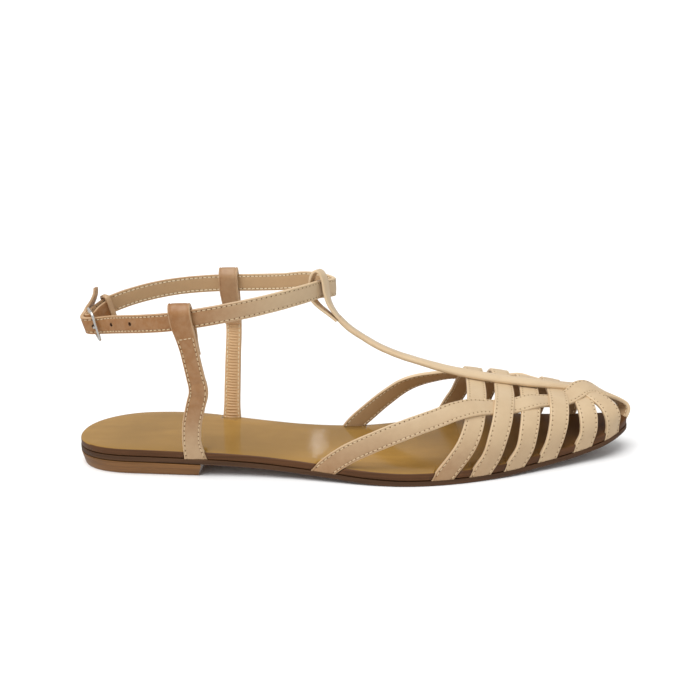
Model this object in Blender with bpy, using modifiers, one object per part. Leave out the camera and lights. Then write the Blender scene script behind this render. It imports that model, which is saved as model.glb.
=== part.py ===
"""Flat T-strap sandal, a right shoe: leather sole on a low stacked heel, woven strap vamp, T-strap and ankle strap.

Sizes in the tables are millimetres. X runs from the heel's back to the toe, -Y is the outer (lateral) side,
+Y the inner (medial) side, and Z = 0 is the floor. The finished pieces are moved so that the origin lies
under the middle of the shoe.
"""

import math
from collections import namedtuple
from functools import lru_cache

import bmesh
import bpy
from mathutils import Quaternion, Vector

MM = 0.001
UP = Vector((0, 0, 1))

# ---------------------------------------------------------------- driving sizes, in millimetres
LENGTH = 247.0  # the outsole, heel's back to toe tip
CENTRE_X, CENTRE_Y = 125.05, -4.65  # the middle of the finished shoe's box
GAP = 0.3  # what glued or touching pieces keep between them
INSOLE_THICK = 3.1
OUTSOLE_THICK = 2.2
INSOLE_INSET = 0.2  # how far the insole's edge stands back from the outsole's
STRAP_SINK = 0.2  # how far inside the sole's outline the straps' outer face meets the insole, in its notches
LAST_BULGE = 0.3  # how far the last swells past the sole's outline above the footbed
NOSE_OVERHANG = 2.6  # and how much further it reaches past the toe's tip
HEEL_FRONT = 59.0
HEEL_RAKE = 1.0  # how far the heel's front and back faces lean in at the floor
HEEL_TAPER = 1.6
EDGE = 0.4  # softened edge of the sole pieces

HEEL_ROUND = 29.0  # length over which the heel's outline closes
TOE_ROUND = 16.0
ROUNDNESS = 2.2  # exponent of both round ends, 2 would be an ellipse
SECTION_POWER = 0.82  # how square the last's cross-section is, 1 would be an ellipse
NOSE = 238.0  # the last's toe is rounded about a core that ends here
CORE_HEIGHT = 2.5

STRAP_WIDE = 8.6
STRAP_THICK = 1.65
MOST_DRAPE = 1.1  # how far a vamp strap's edges can bend down to the last, leather being stiff
BINDING = 0.25  # how deep an upper strap presses into the one that it crosses
T_WIDE = 5.8
T_THICK = 2.4
T_LOOP_THICK = 1.3
ANKLE_WIDE = 8.0
ANKLE_THICK = 1.8
QUARTER_WIDE = 8.3
LOOP_WIDE = 9.5
NOTCH_REACH = 2.8  # how far above and below the insole a notch's cutter reaches
NOTCH_OVERRUN = 5.0  # how far a notch's cutter passes the sole's outline
NOTCH_SPARE = 0.5  # how far a notch stands off its strap, behind it and on either side
TIP_NOTCH_SPARE = 1.2  # the same at the toe's tip, where the strap's edges turn in
QUARTER_THICK = 1.7

# ---------------------------------------------------------------- the last, with the strap leather on it
Station = namedtuple("Station", "x centre half foot")
STATIONS = [
    Station(0, 3.8, 25.8, 11.7),
    Station(26, 3.5, 26.8, 11.7),
    Station(38, 2.6, 27.5, 11.6),
    Station(56, -0.1, 27.1, 11.2),
    Station(70, -2.6, 25.6, 10.5),
    Station(85, -5.3, 24.7, 9.6),
    Station(100, -7.8, 25.2, 8.5),
    Station(115, -9.7, 27.3, 7.4),
    Station(130, -10.1, 30.8, 6.2),
    Station(145, -8.7, 34.3, 5.6),
    Station(160, -6.0, 36.3, 5.6),
    Station(175, -2.9, 36.2, 5.7),
    Station(190, -0.5, 33.8, 6.3),
    Station(203, 0.8, 29.7, 7.4),
    Station(215, 1.0, 24.8, 8.5),
    Station(227, 0.5, 19.2, 10.3),
    Station(237, -0.4, 14.2, 12.7),
    Station(247, -1.4, 9.4, 16.0),
]

Crest = namedtuple("Crest", "x height")
CREST = [  # top of the last above the footbed, before the toe's rounding
    Crest(100, 88.0),
    Crest(112, 67.0),
    Crest(122, 52.0),
    Crest(134, 42.0),
    Crest(148, 36.5),
    Crest(162, 31.95),
    Crest(176, 28.4),
    Crest(191, 25.0),
    Crest(206, 21.2),
    Crest(217, 18.5),
    Crest(228, 15.7),
    Crest(238, 12.6),
    Crest(249, 9.0),
]

Ridge = namedtuple("Ridge", "x swell")
RIDGE = [  # the instep's ridge, a little to the medial side, as a share of the crest's height
    Ridge(148, 0.0), Ridge(164, 0.1), Ridge(177, 0.15), Ridge(191, 0.16), Ridge(206, 0.14), Ridge(217, 0.12),
    Ridge(228, 0.09), Ridge(236, 0.03), Ridge(242, 0.0),
]
RIDGE_AWAY, RIDGE_WIDE = 8.0, 11.0  # from the centre line to the ridge, and its half width


def spline(knots, values):
    """The smooth curve through values, numbers or vectors, at the rising knots."""
    spans = [b - a for a, b in zip(knots, knots[1:])]
    rises = [(b - a) * (1 / span) for a, b, span in zip(values, values[1:], spans)]
    slopes = [rises[0]]
    for i in range(1, len(spans)):
        before, after = spans[i - 1], spans[i]
        slopes.append((rises[i - 1] * after + rises[i] * before) * (1 / (before + after)))
    slopes.append(rises[-1])

    def at(t):
        t = min(max(t, knots[0]), knots[-1])
        i = max(k for k in range(len(spans)) if knots[k] <= t)
        f = (t - knots[i]) / spans[i]
        start = values[i] * (2 * f**3 - 3 * f**2 + 1) + slopes[i] * (spans[i] * (f**3 - 2 * f**2 + f))
        return start + values[i + 1] * (3 * f**2 - 2 * f**3) + slopes[i + 1] * (spans[i] * (f**3 - f**2))

    return at


def column(rows, name):
    return spline([row.x for row in rows], [getattr(row, name) for row in rows])


centre_of = column(STATIONS, "centre")
half_of = column(STATIONS, "half")
foot_of = column(STATIONS, "foot")  # height of the footbed
crest_of = column(CREST, "height")
ridge_of = column(RIDGE, "swell")


def end_rounding(x):
    """1 along the shoe, falling to 0 at the heel's back and at the toe's tip."""
    if x < HEEL_ROUND:
        away = 1 - x / HEEL_ROUND
    elif x > LENGTH - TOE_ROUND:
        away = 1 - (LENGTH - x) / TOE_ROUND
    else:
        return 1.0
    return max(0.0, 1 - min(away, 1) ** ROUNDNESS) ** (1 / ROUNDNESS)


def edges(x, margin):
    """Lateral and medial edge of the insole's outline, set out by margin."""
    inner = (x + margin) * LENGTH / (LENGTH + 2 * margin)
    half = (half_of(inner) + margin) * end_rounding(inner)
    return centre_of(inner) - half, centre_of(inner) + half


def last_rise(x):
    """Height of the last's crest above the footbed."""
    inner = x * LENGTH / (LENGTH + LAST_BULGE + NOSE_OVERHANG)
    return crest_of(x) * (end_rounding(inner) if x > LENGTH / 2 else 1)


def swell(x, y):
    """How many times higher than its crest's ellipse the last is, over y."""
    return 1 + ridge_of(x) * math.exp(-(((y - centre_of(x) - RIDGE_AWAY) / RIDGE_WIDE) ** 2))


def last_edges(x, height):
    """The last's sides at a height, given as a share of the crest's: drawn in at the footbed's edge."""
    drawn_in = (1 - min(max(height, 0), 1)) ** 2
    inner = x * LENGTH / (LENGTH + NOSE_OVERHANG * (1 - drawn_in))
    return edges(inner, LAST_BULGE - (LAST_BULGE + STRAP_SINK) * drawn_in)


@lru_cache(maxsize=None)
def last_section(x):
    """Points (y, z, way round) of the last's cross-section, from the lateral edge over the crest."""
    points, way = [], 0.0
    for step in range(61):
        angle = math.pi * step / 60
        height = abs(math.sin(angle)) ** SECTION_POWER
        lateral, medial = last_edges(x, height)
        side = -math.copysign(abs(math.cos(angle)) ** SECTION_POWER, math.cos(angle))
        y = (lateral + medial) / 2 + (medial - lateral) / 2 * side
        z = foot_of(x) + last_rise(x) * height * swell(x, y)
        if points:
            way += math.hypot(y - points[-1][0], z - points[-1][1])
        points.append((y, z, way))
    return points


def last_point(x, around):
    """The last's surface: around is 0 at the lateral footbed edge, 1 at the medial one, straight down past them."""
    points = last_section(round(x, 4))
    way = around * points[-1][2]
    if way <= 0:
        return Vector((x, points[0][0], points[0][1] + way))
    if way >= points[-1][2]:
        return Vector((x, points[-1][0], points[-1][1] - way + points[-1][2]))
    i = next(k for k in range(1, len(points)) if points[k][2] >= way)
    (y0, z0, w0), (y1, z1, w1) = points[i - 1], points[i]
    f = (way - w0) / (w1 - w0)
    return Vector((x, y0 + (y1 - y0) * f, z0 + (z1 - z0) * f))


def fullness(point):
    """Under 1 inside the last and over 1 outside; below the footbed its sides run straight down."""
    rise = last_rise(point.x)
    if rise < 0.01:
        return 9.0
    height = max(0, point.z - foot_of(point.x)) / (rise * swell(point.x, point.y))
    lateral, medial = last_edges(point.x, height)
    if medial - lateral < 0.02:
        return 9.0
    side = abs(point.y - (lateral + medial) / 2) / ((medial - lateral) / 2)
    return side ** (2 / SECTION_POWER) + height ** (2 / SECTION_POWER)


def seat(point):
    """Moves a point onto the last, along the line from the last's core, which ends behind the nose."""
    core = Vector((min(point.x, NOSE), centre_of(min(point.x, NOSE)), max(point.z, 0)))
    core.z = min(core.z, foot_of(core.x) + CORE_HEIGHT)
    reach = point - core
    low, high = 0.2, 2.5
    for _ in range(34):
        middle = (low + high) / 2
        if fullness(core + reach * middle) < 1:
            low = middle
        else:
            high = middle
    return core + reach * low


def outward(point):
    """The last's outward normal."""
    step = 0.15
    slope = [
        fullness(point + axis * step) - fullness(point - axis * step)
        for axis in (Vector((1, 0, 0)), Vector((0, 1, 0)), UP)
    ]
    return Vector(slope).normalized()


# ---------------------------------------------------------------- straps of the vamp
# lift counts the straps that lie underneath; tilt is how much higher the strap's medial edge stands, in millimetres
Turn = namedtuple("Turn", "x around lift tilt", defaults=(0,))
Nose = namedtuple("Nose", "x y z lift tilt", defaults=(0,))  # over the toe, where the sections grow too small
CAGE = {
    "first_cross": [
        Turn(157, -0.12, 0), Turn(161, -0.03, 0), Turn(167, 0.04, 0), Turn(171, 0.09, 0), Turn(174, 0.15, 0),
        Turn(176, 0.22, 0), Turn(177.5, 0.31, 0), Turn(179, 0.5, 0), Turn(178.5, 0.69, 0), Turn(177, 0.79, 0),
        Turn(175, 0.87, 0), Turn(171, 0.94, 0), Turn(166, 1.02, 0), Turn(162, 1.12, 0),
    ],
    "second_cross": [
        Turn(173, -0.12, 0), Turn(177, -0.03, 0), Turn(182, 0.04, 0), Turn(185, 0.12, 0.1), Turn(187, 0.19, 0.85),
        Turn(188.5, 0.26, 1), Turn(190, 0.34, 0.75), Turn(191.5, 0.5, 0), Turn(191, 0.66, 0.75),
        Turn(190.5, 0.74, 1), Turn(189.5, 0.81, 0.85), Turn(188, 0.88, 0.1), Turn(185.5, 0.95, 0),
        Turn(181.5, 1.03, 0), Turn(178, 1.12, 0),
    ],
    "third_cross": [
        Turn(188, -0.13, 0), Turn(192, -0.03, 0), Turn(196.5, 0.04, 0), Turn(199, 0.14, 0), Turn(200.5, 0.23, 0),
        Turn(202, 0.36, 0), Turn(203, 0.5, 0), Turn(203, 0.64, 0), Turn(202.5, 0.77, 0), Turn(201, 0.88, 0),
        Turn(198.5, 0.96, 0), Turn(195, 1.03, 0), Turn(192, 1.13, 0),
    ],
    "fourth_cross": [
        Turn(203, -0.15, 0), Turn(207, -0.04, 0), Turn(210, 0.04, 0), Turn(212, 0.13, 0.1), Turn(213, 0.22, 0.8),
        Turn(214, 0.32, 1), Turn(214.7, 0.41, 0.6), Turn(215, 0.5, 0.1), Turn(215, 0.59, 0.6), Turn(214.8, 0.68, 1),
        Turn(214, 0.78, 0.8), Turn(213, 0.87, 0.1), Turn(211.5, 0.96, 0), Turn(208.5, 1.04, 0), Turn(205, 1.15, 0),
    ],
    "fifth_cross": [
        Turn(220, -0.2, 0), Turn(223.5, -0.05, 0), Turn(226, 0.04, 0), Turn(226.5, 0.16, 0), Turn(226, 0.3, 0),
        Turn(225, 0.5, 0), Turn(226, 0.7, 0), Turn(226.5, 0.84, 0), Turn(226, 0.96, 0), Turn(223.5, 1.05, 0),
        Turn(220, 1.2, 0),
    ],
    "inner_diagonal": [  # starts at the medial waist and ends on the lateral side of the toe
        Turn(115.5, 1.1, 0), Turn(124, 1.0, 0), Turn(132, 0.94, 0), Turn(141, 0.875, 0), Turn(150.5, 0.815, 0),
        Turn(160.5, 0.775, 0.2), Turn(169.5, 0.755, 0.9), Turn(178, 0.75, 1), Turn(184, 0.742, 0.2), Turn(190.5, 0.735, 0),
        Turn(196, 0.72, 0.3), Turn(202.5, 0.7, 1), Turn(208.5, 0.675, 0.3), Turn(214.5, 0.64, 0),
        Turn(220, 0.59, 0.5), Turn(226, 0.51, 1), Turn(231, 0.42, 0.6), Turn(235.5, 0.3, 0.05),
        Turn(238, 0.15, 0), Turn(238.5, 0.0, 0), Turn(236.5, -0.2, 0),
    ],
    "outer_diagonal": [  # starts at the lateral waist and ends on the medial side of the toe
        Turn(103, -0.08, 0), Turn(113, -0.01, 0), Turn(121, 0.04, 0), Turn(134, 0.11, 0), Turn(146, 0.16, 0),
        Turn(158, 0.2, 0.05), Turn(167, 0.23, 0.8), Turn(176, 0.25, 1), Turn(182, 0.258, 0.3), Turn(188.5, 0.265, 0),
        Turn(195, 0.275, 0.3), Turn(201.5, 0.295, 1), Turn(208, 0.32, 0.3), Turn(214, 0.34, 0),
        Turn(218.5, 0.365, 0.2), Turn(223, 0.41, 1.2, 1.2), Turn(227, 0.475, 1.9, 2.6), Nose(231.5, 1.8, 27, 1.6, 3),
        Nose(237, 3.6, 26, 0.3, 1.4), Nose(242.5, 4.1, 24, 0), Nose(246.5, 3.7, 20.5, 0), Nose(248.3, 3.3, 16, 0.5),
        Nose(248.6, 3.0, 11, 1.2),
    ],
}

# ---------------------------------------------------------------- straps in free air
# centre line, sideways lean of the strap in degrees, its width, and its lean towards the heel in degrees
Bend = namedtuple("Bend", "x y z lean wide back", defaults=(0,))
T_STRAP = [
    Bend(221.5, 0.6, 28.6, 0, 5.0, 8), Bend(215, 0.3, 29.9, 0, 5.4, 10), Bend(206.6, -1.5, 31.4, 0, T_WIDE, 14),
    Bend(191.2, -3.2, 34.05, 0, T_WIDE, 18), Bend(176.1, -4.7, 37.2, 0, T_WIDE, 18),
    Bend(165.9, -5.0, 39.7, 0, T_WIDE, 12), Bend(154.3, -4.6, 43.3, 0, T_WIDE, 5), Bend(144.1, -4.0, 46.75, 0, T_WIDE),
    Bend(136, -3.8, 50.45, 0, T_WIDE), Bend(129.9, -3.8, 54.35, 0, T_WIDE), Bend(123.4, -4.4, 59.2, 0, T_WIDE),
    Bend(119.2, -5, 63.6, 0, 5.8),
]
T_LOOP = [
    Bend(121.6, -4.6, 61.0, 0, 5.8), Bend(118.1, -5.1, 65.3, 6, 5.8), Bend(115.4, -5.6, 70.1, 16, 5.4),
    Bend(114.1, -6, 75, 26, 5.0), Bend(113.5, -6, 80, 28, 5.0), Bend(112.2, -6, 83.8, 28, 5.0),
    Bend(110.6, -6, 84.9, 28, 5.0), Bend(109.0, -6, 83.6, 28, 5.0), Bend(107.9, -6, 79, 28, 5.0),
    Bend(107.9, -6, 73.4, 24, 5.0), Bend(110.7, -5.7, 69.5, 16, 5.0), Bend(114.8, -5.3, 65.8, 6, 5.0),
    Bend(118.1, -5, 62.8, 0, 5.0),
]
ANKLE = [  # from behind the keeper, medial side, front, lateral side, round the buckle to the free tail
    Bend(15.8, 7.4, 69.2, 0, ANKLE_WIDE), Bend(21, 11.2, 70.8, 0, ANKLE_WIDE), Bend(33, 17.8, 73.3, 0, ANKLE_WIDE),
    Bend(46, 23.6, 74.5, 0, ANKLE_WIDE), Bend(58, 26.2, 74.9, 0, ANKLE_WIDE), Bend(70, 26.2, 75, 0, ANKLE_WIDE),
    Bend(82, 23.8, 75.3, 0, ANKLE_WIDE), Bend(94, 18.9, 76.2, 0, ANKLE_WIDE), Bend(105, 13.4, 77.6, 0, ANKLE_WIDE),
    Bend(112.5, 10.0, 77.0, 0, ANKLE_WIDE), Bend(116.0, 7.6, 76.2, 0, ANKLE_WIDE), Bend(117.3, 4.4, 75.9, 0, ANKLE_WIDE),
    Bend(115.9, 1.2, 76.0, 0, ANKLE_WIDE), Bend(113, -2.4, 76.3, 0, ANKLE_WIDE), Bend(110.7, -6, 76.6, 0, ANKLE_WIDE),
    Bend(108.2, -10.8, 76.6, 0, ANKLE_WIDE), Bend(104, -15.6, 76.2, 0, ANKLE_WIDE), Bend(96, -21.2, 75, 0, ANKLE_WIDE),
    Bend(82, -26.4, 72.8, 0, ANKLE_WIDE), Bend(66, -28.2, 70.3, 0, ANKLE_WIDE), Bend(52, -26.8, 68.2, 0, ANKLE_WIDE),
    Bend(38, -21.6, 66.4, 0, ANKLE_WIDE), Bend(27, -14.6, 64.9, 0, ANKLE_WIDE), Bend(20.8, -9.6, 63.8, 0, ANKLE_WIDE),
    Bend(17.2, -7.1, 63.1, 0, 7.9, 6), Bend(13.8, -5.7, 62.7, 0, 7.7, 13),
    Bend(10.6, -5.5, 62.6, 0, 7.7, 14), Bend(8.3, -4.6, 62.7, -3, 7.7, 14),
    Bend(7.2, -2.3, 63.2, -12, 7.7, 14), Bend(7.2, 0.3, 64.1, -28, 7.8, 11), Bend(7.4, 2.2, 65.9, -48, 7.4, 5),
    Bend(8.0, 3.2, 68.4, -68, 6.8), Bend(9.6, 3.4, 70.9, -80, 6.2), Bend(11.0, 3.4, 73.3, -85, 6.0),
    Bend(11.9, 3.5, 75.7, -88, 5.4), Bend(12.1, 3.5, 77.8, -90, 4.6),
]
FLAP = [  # the medial end of the ankle strap, thinned and folded round the buckle's heel bar
    Bend(18.6, 9.6, 70.1, 0, 7.7), Bend(15.0, 6.6, 68.9, 0, 7.7), Bend(11.4, 2.3, 66.4, 0, 7.5, 10),
    Bend(9.2, -0.7, 64.5, 0, 7.0, 14), Bend(8.7, -2.3, 64.0, 0, 7.2, 14), Bend(9.25, -3.65, 64.0, 0, 7.2, 14),
    Bend(10.7, -4.1, 64.3, 0, 7.2, 14), Bend(12.0, -3.3, 64.6, 0, 7.2, 14), Bend(12.4, -1.7, 64.8, 0, 7.2, 13),
    Bend(13.1, 0.7, 65.6, 0, 7.4, 8), Bend(15.1, 3.5, 67.4, 0, 7.6), Bend(17.3, 6.1, 68.7, 0, 7.5),
]
QUARTER_LATERAL = [
    Bend(57.3, -26.0, 5.0, 0, 11.0), Bend(56.6, -26.0, 8.8, 0, 9.6), Bend(55.8, -26.4, 14, 0, 8.4),
    Bend(56.2, -27.0, 22, 0, QUARTER_WIDE), Bend(58.6, -27.7, 32, -2, QUARTER_WIDE),
    Bend(60.3, -28.2, 38.5, -3, QUARTER_WIDE), Bend(59.6, -28.6, 44, -4, 8.0), Bend(58.5, -29.0, 51, -5, 7.9),
    Bend(57.6, -29.4, 57, -6, 8.1), Bend(56.5, -30.1, 63, -6, 8.9), Bend(55.4, -30.35, 68, -6, LOOP_WIDE),
    Bend(54.8, -30.3, 72.8, -6, LOOP_WIDE), Bend(54.5, -27.6, 75.3, -6, LOOP_WIDE),
    Bend(54.7, -24.9, 72.8, -6, LOOP_WIDE), Bend(55.6, -24.6, 67, -6, LOOP_WIDE),
    Bend(56.6, -25.1, 62.6, -6, 8.6), Bend(57.3, -26.6, 59, -6, 8.0), Bend(58.2, -27.05, 53.5, -5, 7.8),
]
QUARTER_MEDIAL = [
    Bend(66.0, 22.6, 4.0, 0, 10.6), Bend(66.0, 22.6, 8.6, 0, 9.2), Bend(66.2, 23.1, 14, 0, 8.2),
    Bend(66.8, 24.4, 25, 0, 7.8), Bend(67.7, 25.8, 40, 0, 7.5), Bend(68.6, 27.0, 54, 0, 7.5),
    Bend(68.4, 27.8, 61, 0, 8.0), Bend(67.9, 28.4, 68, -2, 8.9), Bend(67.6, 28.7, 74, -3, 9.0),
    Bend(67.6, 28.6, 79.0, -3, 9.0), Bend(67.7, 26.2, 81.4, -3, 9.0), Bend(67.7, 23.7, 79.0, -3, 9.0),
    Bend(67.7, 23.5, 73, -3, 9.0), Bend(68.0, 24.2, 67, -2, 8.4), Bend(68.3, 25.5, 61.5, 0, 7.8),
    Bend(68.5, 25.15, 56, 0, 7.4),
]
# ---------------------------------------------------------------- buckle
HEEL_BAR = Vector((10.5, -2.2, 64.2))  # middles of the frame's two bars
FREE_BAR = Vector((13.9, -8.2, 62.3))
BAR_UP = Vector((-0.25, 0.1, 0.963)).normalized()
RAIL = 6.0  # from a bar's middle up or down to the frame's rails
FRAME_WIRE = 0.75  # radii of the wires
PRONG_WIRE = 0.5
FLAP_THICK = 1.1
PRONG_RING = HEEL_BAR - BAR_UP * 1.6  # where the prong's ring goes round the heel bar
PRONG_HOLE = Vector((12.2, -5.6, 62.9))
PRONG_TIP = Vector((12.6, -7.3, 62.0))
HOLE_RADIUS = 0.85
SPARE_HOLES = [Vector((21.8, -10.4, 64.0)), Vector((31.8, -18.0, 65.7))]
KEEPER = Vector((15.95, 6.1, 68.72))  # middle of the keeper, on the medial branch
KEEPER_ALONG = Vector((0.72, 0.64, 0.28))
KEEPER_WIDE, KEEPER_THICK = 2.2, 0.9
KEEPER_ROOM = (4.6, 9.4)  # clear width across the strap's faces, and over its edges


# ---------------------------------------------------------------- builders
def clear_scene():
    for obj in list(bpy.data.objects):
        bpy.data.objects.remove(obj, do_unlink=True)


def collection(name):
    made = bpy.data.collections.new(name)
    bpy.context.scene.collection.children.link(made)
    return made


def material(name, colour, roughness, metallic=0.0):
    made = bpy.data.materials.new(name)
    made.use_nodes = True
    shader = made.node_tree.nodes["Principled BSDF"]
    shader.inputs["Base Color"].default_value = (*colour, 1)
    shader.inputs["Roughness"].default_value = roughness
    shader.inputs["Metallic"].default_value = metallic
    return made


def add_mesh(name, bm, home, finish=None):
    """Turns a bmesh in millimetres into an object in metres, moved to the shoe's own origin."""
    bmesh.ops.remove_doubles(bm, verts=bm.verts, dist=0.001)
    bmesh.ops.translate(bm, verts=bm.verts, vec=(-CENTRE_X, -CENTRE_Y, 0))
    bmesh.ops.scale(bm, verts=bm.verts, vec=(MM, MM, MM))
    mesh = bpy.data.meshes.new(name)
    bm.to_mesh(mesh)
    bm.free()
    obj = bpy.data.objects.new(name, mesh)
    home.objects.link(obj)
    if finish:
        mesh.materials.append(finish)
    return obj


def loft(name, rings, home, finish=None, ring_round=False):
    """A solid through rings of equal numbers of points: closed by a face at each end, or joined last to first."""
    bm = bmesh.new()
    loops = [[bm.verts.new(point) for point in ring] for ring in rings]
    count = len(rings[0])
    for low, high in zip(loops, loops[1:] + loops[:1] if ring_round else loops[1:]):
        for i in range(count):
            j = (i + 1) % count
            bm.faces.new((low[i], low[j], high[j], high[i]))
    if not ring_round:
        bm.faces.new(loops[0])
        bm.faces.new(loops[-1])
    bmesh.ops.remove_doubles(bm, verts=bm.verts, dist=0.001)
    bmesh.ops.recalc_face_normals(bm, faces=bm.faces)
    return add_mesh(name, bm, home, finish)


def sole_plate(name, home, finish, start, end, margin, top, bottom, taper=0.0, rake=0.0):
    """A plate with the sole's outline between start and end; top and bottom give its heights at x."""
    stations = 54
    rings = []
    for step in range(stations + 1):
        along = (1 - math.cos(math.pi * step / stations)) / 2
        x = start + (end - start) * along
        lateral, medial = edges(min(x, LENGTH + margin), margin)
        low, high = bottom(x), top(x)
        soft = min(EDGE, (medial - lateral) / 2)
        thin = taper * min(1, (medial - lateral) / 10)
        back = rake * (along**8 - (1 - along)**8)
        rings.append([
            Vector((x - back, lateral + thin, low)),
            Vector((x, lateral, high - EDGE)),
            Vector((x, lateral + soft, high)),
            Vector((x, medial - soft, high)),
            Vector((x, medial, high - EDGE)),
            Vector((x - back, medial - thin, low)),
        ])
    return loft(name, rings, home, finish)


def thin_out(samples, turn, reach):
    """Keeps only the samples that the path's bends need: each is (position, ...)."""
    kept = [samples[0]]
    for before, here, after in zip(samples, samples[1:], samples[2:]):
        ahead = (after[0] - here[0]).normalized()
        behind = (here[0] - kept[-1][0])
        if behind.length > reach or (behind.length > 0.8 and behind.angle(ahead) > turn):
            kept.append(here)
    kept.append(samples[-1])
    return kept


def ribbon(name, rows, thick, offset, home, finish=None, soft=0.3):
    """A strap from rows of points across it: an open band, thickened, its long edges softened."""
    bm = bmesh.new()
    lines = [[bm.verts.new(point) for point in row] for row in rows]
    for low, high in zip(lines, lines[1:]):
        for i in range(len(low) - 1):
            bm.faces.new((low[i], low[i + 1], high[i + 1], high[i]))
    obj = add_mesh(name, bm, home, finish)
    wall = obj.modifiers.new("wall", "SOLIDIFY")
    wall.thickness = thick * MM
    wall.offset = offset
    edge = obj.modifiers.new("edge", "BEVEL")
    edge.width = soft * MM
    edge.segments = 1
    edge.limit_method = "ANGLE"
    edge.angle_limit = math.radians(50)
    return obj


def free_rows(bends, side_of):
    """Rows across a strap in free air. side_of(lean, back) is its width's direction before squaring up."""
    places = [Vector((bend.x, bend.y, bend.z)) for bend in bends]
    knots = [0.0]
    for before, here in zip(places, places[1:]):
        knots.append(knots[-1] + (here - before).length)
    place = spline(knots, places)
    lean = spline(knots, [bend.lean for bend in bends])
    wide = spline(knots, [bend.wide for bend in bends])
    back = spline(knots, [bend.back for bend in bends])
    samples = [(place(knots[-1] * step / 600), knots[-1] * step / 600) for step in range(601)]
    rows = []
    for spot, t in thin_out(samples, math.radians(9), 9.0):
        ahead = (place(t + 0.05) - place(t - 0.05)).normalized()
        side = side_of(math.radians(lean(t)), math.radians(back(t)))
        side = (side - ahead * side.dot(ahead)).normalized() * (wide(t) / 2)
        rows.append([spot - side, spot + side])
    return rows


def cage_samples(turns):
    """Close points along a strap's outer face, each with its seat on the last, its rise above that and its tilt."""
    ground = [last_point(turn.x, turn.around) if isinstance(turn, Turn) else seat(Vector(turn[:3])) for turn in turns]
    knots = [0.0]
    for before, here in zip(ground, ground[1:]):
        knots.append(knots[-1] + (here - before).length)
    place = spline(knots, ground)
    lift, tilt = spline(knots, [turn.lift for turn in turns]), spline(knots, [turn.tilt for turn in turns])
    samples = []
    for step in range(241):
        t = knots[-1] * step / 240
        spot = seat(place(t))
        rise = max(0, lift(t)) * (STRAP_THICK - BINDING)
        samples.append((spot + outward(spot) * rise, spot, rise, tilt(t)))
    return samples


def cage_rows(samples, wide=STRAP_WIDE):
    """Rows across a strap that lies on the last and rides over the straps that it crosses."""
    kept = thin_out(samples, math.radians(8), 8.0)
    rows = []
    for i, (_, spot, rise, tilt) in enumerate(kept):
        ahead = kept[min(i + 1, len(kept) - 1)][1] - kept[max(i - 1, 0)][1]
        across = outward(spot).cross(ahead).normalized()
        row = []
        for share in (-0.5, 0, 0.5):
            level = spot + across * (share * wide)
            drape = seat(level) - level
            there = level + drape * min(1, MOST_DRAPE / max(drape.length, 0.001))
            row.append(there + outward(there) * (rise + tilt * share))
        rows.append(row)
    return rows


def notch(name, rows, inside, spare, home):
    """What a strap's end takes out of the insole, and spare all round it: its rows there, carried to the edge."""
    middle = rows[len(rows) // 2]
    width = middle[-1] - middle[0]
    away = width.cross(UP).normalized()
    plan_centre = Vector((min(middle[0].x, NOSE), centre_of(min(middle[0].x, NOSE)), 0))
    if away.dot(middle[0] - plan_centre) < 0:
        away = -away
    rings = []
    for row in rows:
        wider = (row[-1] - row[0]).normalized() * spare
        line = [row[0] - wider, *row[1:-1], row[-1] + wider]
        near = [point - away * (inside + spare) for point in line]
        rings.append(near + [point + away * NOTCH_OVERRUN for point in reversed(line)])
    made = loft(name, rings, home)
    made.hide_render, made.display_type = True, "WIRE"
    return made


def boolean(obj, other, operation):
    cut = obj.modifiers.new(operation.lower() + "_" + other.name, "BOOLEAN")
    cut.operation = operation
    cut.object = other
    other.hide_render = True
    other.display_type = "WIRE"


def insole_top(x):
    return foot_of(x)


def outsole_top(x):
    return foot_of(x) - INSOLE_THICK - GAP


def outsole_bottom(x):
    return max(0.0, outsole_top(x) - OUTSOLE_THICK)


def rod(name, points, radius, home, finish=None, cyclic=False):
    """A round wire along points, in millimetres, made as a bevelled curve and turned into a mesh."""
    data = bpy.data.curves.new(name, "CURVE")
    data.dimensions = "3D"
    data.bevel_depth = radius * MM
    data.bevel_resolution = 2
    data.use_fill_caps = True
    line = data.splines.new("POLY")
    line.points.add(len(points) - 1)
    for knot, point in zip(line.points, points):
        knot.co = (*((point - Vector((CENTRE_X, CENTRE_Y, 0))) * MM), 1)
    line.use_cyclic_u = cyclic
    curve = bpy.data.objects.new(name + "_path", data)
    home.objects.link(curve)
    graph = bpy.context.evaluated_depsgraph_get()
    mesh = bpy.data.meshes.new_from_object(curve.evaluated_get(graph))
    bpy.data.objects.remove(curve)
    bm = bmesh.new()
    bm.from_mesh(mesh)
    bmesh.ops.remove_doubles(bm, verts=bm.verts, dist=0.00001)
    bmesh.ops.recalc_face_normals(bm, faces=bm.faces)
    bm.to_mesh(mesh)
    bm.free()
    mesh.materials.clear()
    if finish:
        mesh.materials.append(finish)
    obj = bpy.data.objects.new(name, mesh)
    home.objects.link(obj)
    return obj


def arc(centre, start, turn, axis, steps):
    """Points round a centre, from centre + start, through a turn in degrees about an axis."""
    return [centre + Quaternion(axis, math.radians(turn * i / steps)) @ start for i in range(steps + 1)]


# ---------------------------------------------------------------- pieces
def build_sole(home):
    edge_brown = material("sole_leather", (0.09, 0.04, 0.018), 0.55)
    footbed_tan = material("footbed_leather", (0.55, 0.36, 0.16), 0.35)
    stack_brown = material("stacked_leather", (0.26, 0.13, 0.05), 0.5)
    insole = sole_plate("insole", home, footbed_tan, INSOLE_INSET, LENGTH - INSOLE_INSET, -INSOLE_INSET,
                        insole_top, lambda x: insole_top(x) - INSOLE_THICK)
    sole_plate("outsole", home, edge_brown, 0, LENGTH, 0, outsole_top, outsole_bottom)
    sole_plate("heel", home, stack_brown, 0, HEEL_FRONT, 0,
               lambda x: outsole_bottom(x) - GAP, lambda x: 0.0, HEEL_TAPER, HEEL_RAKE)
    return insole


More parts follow.
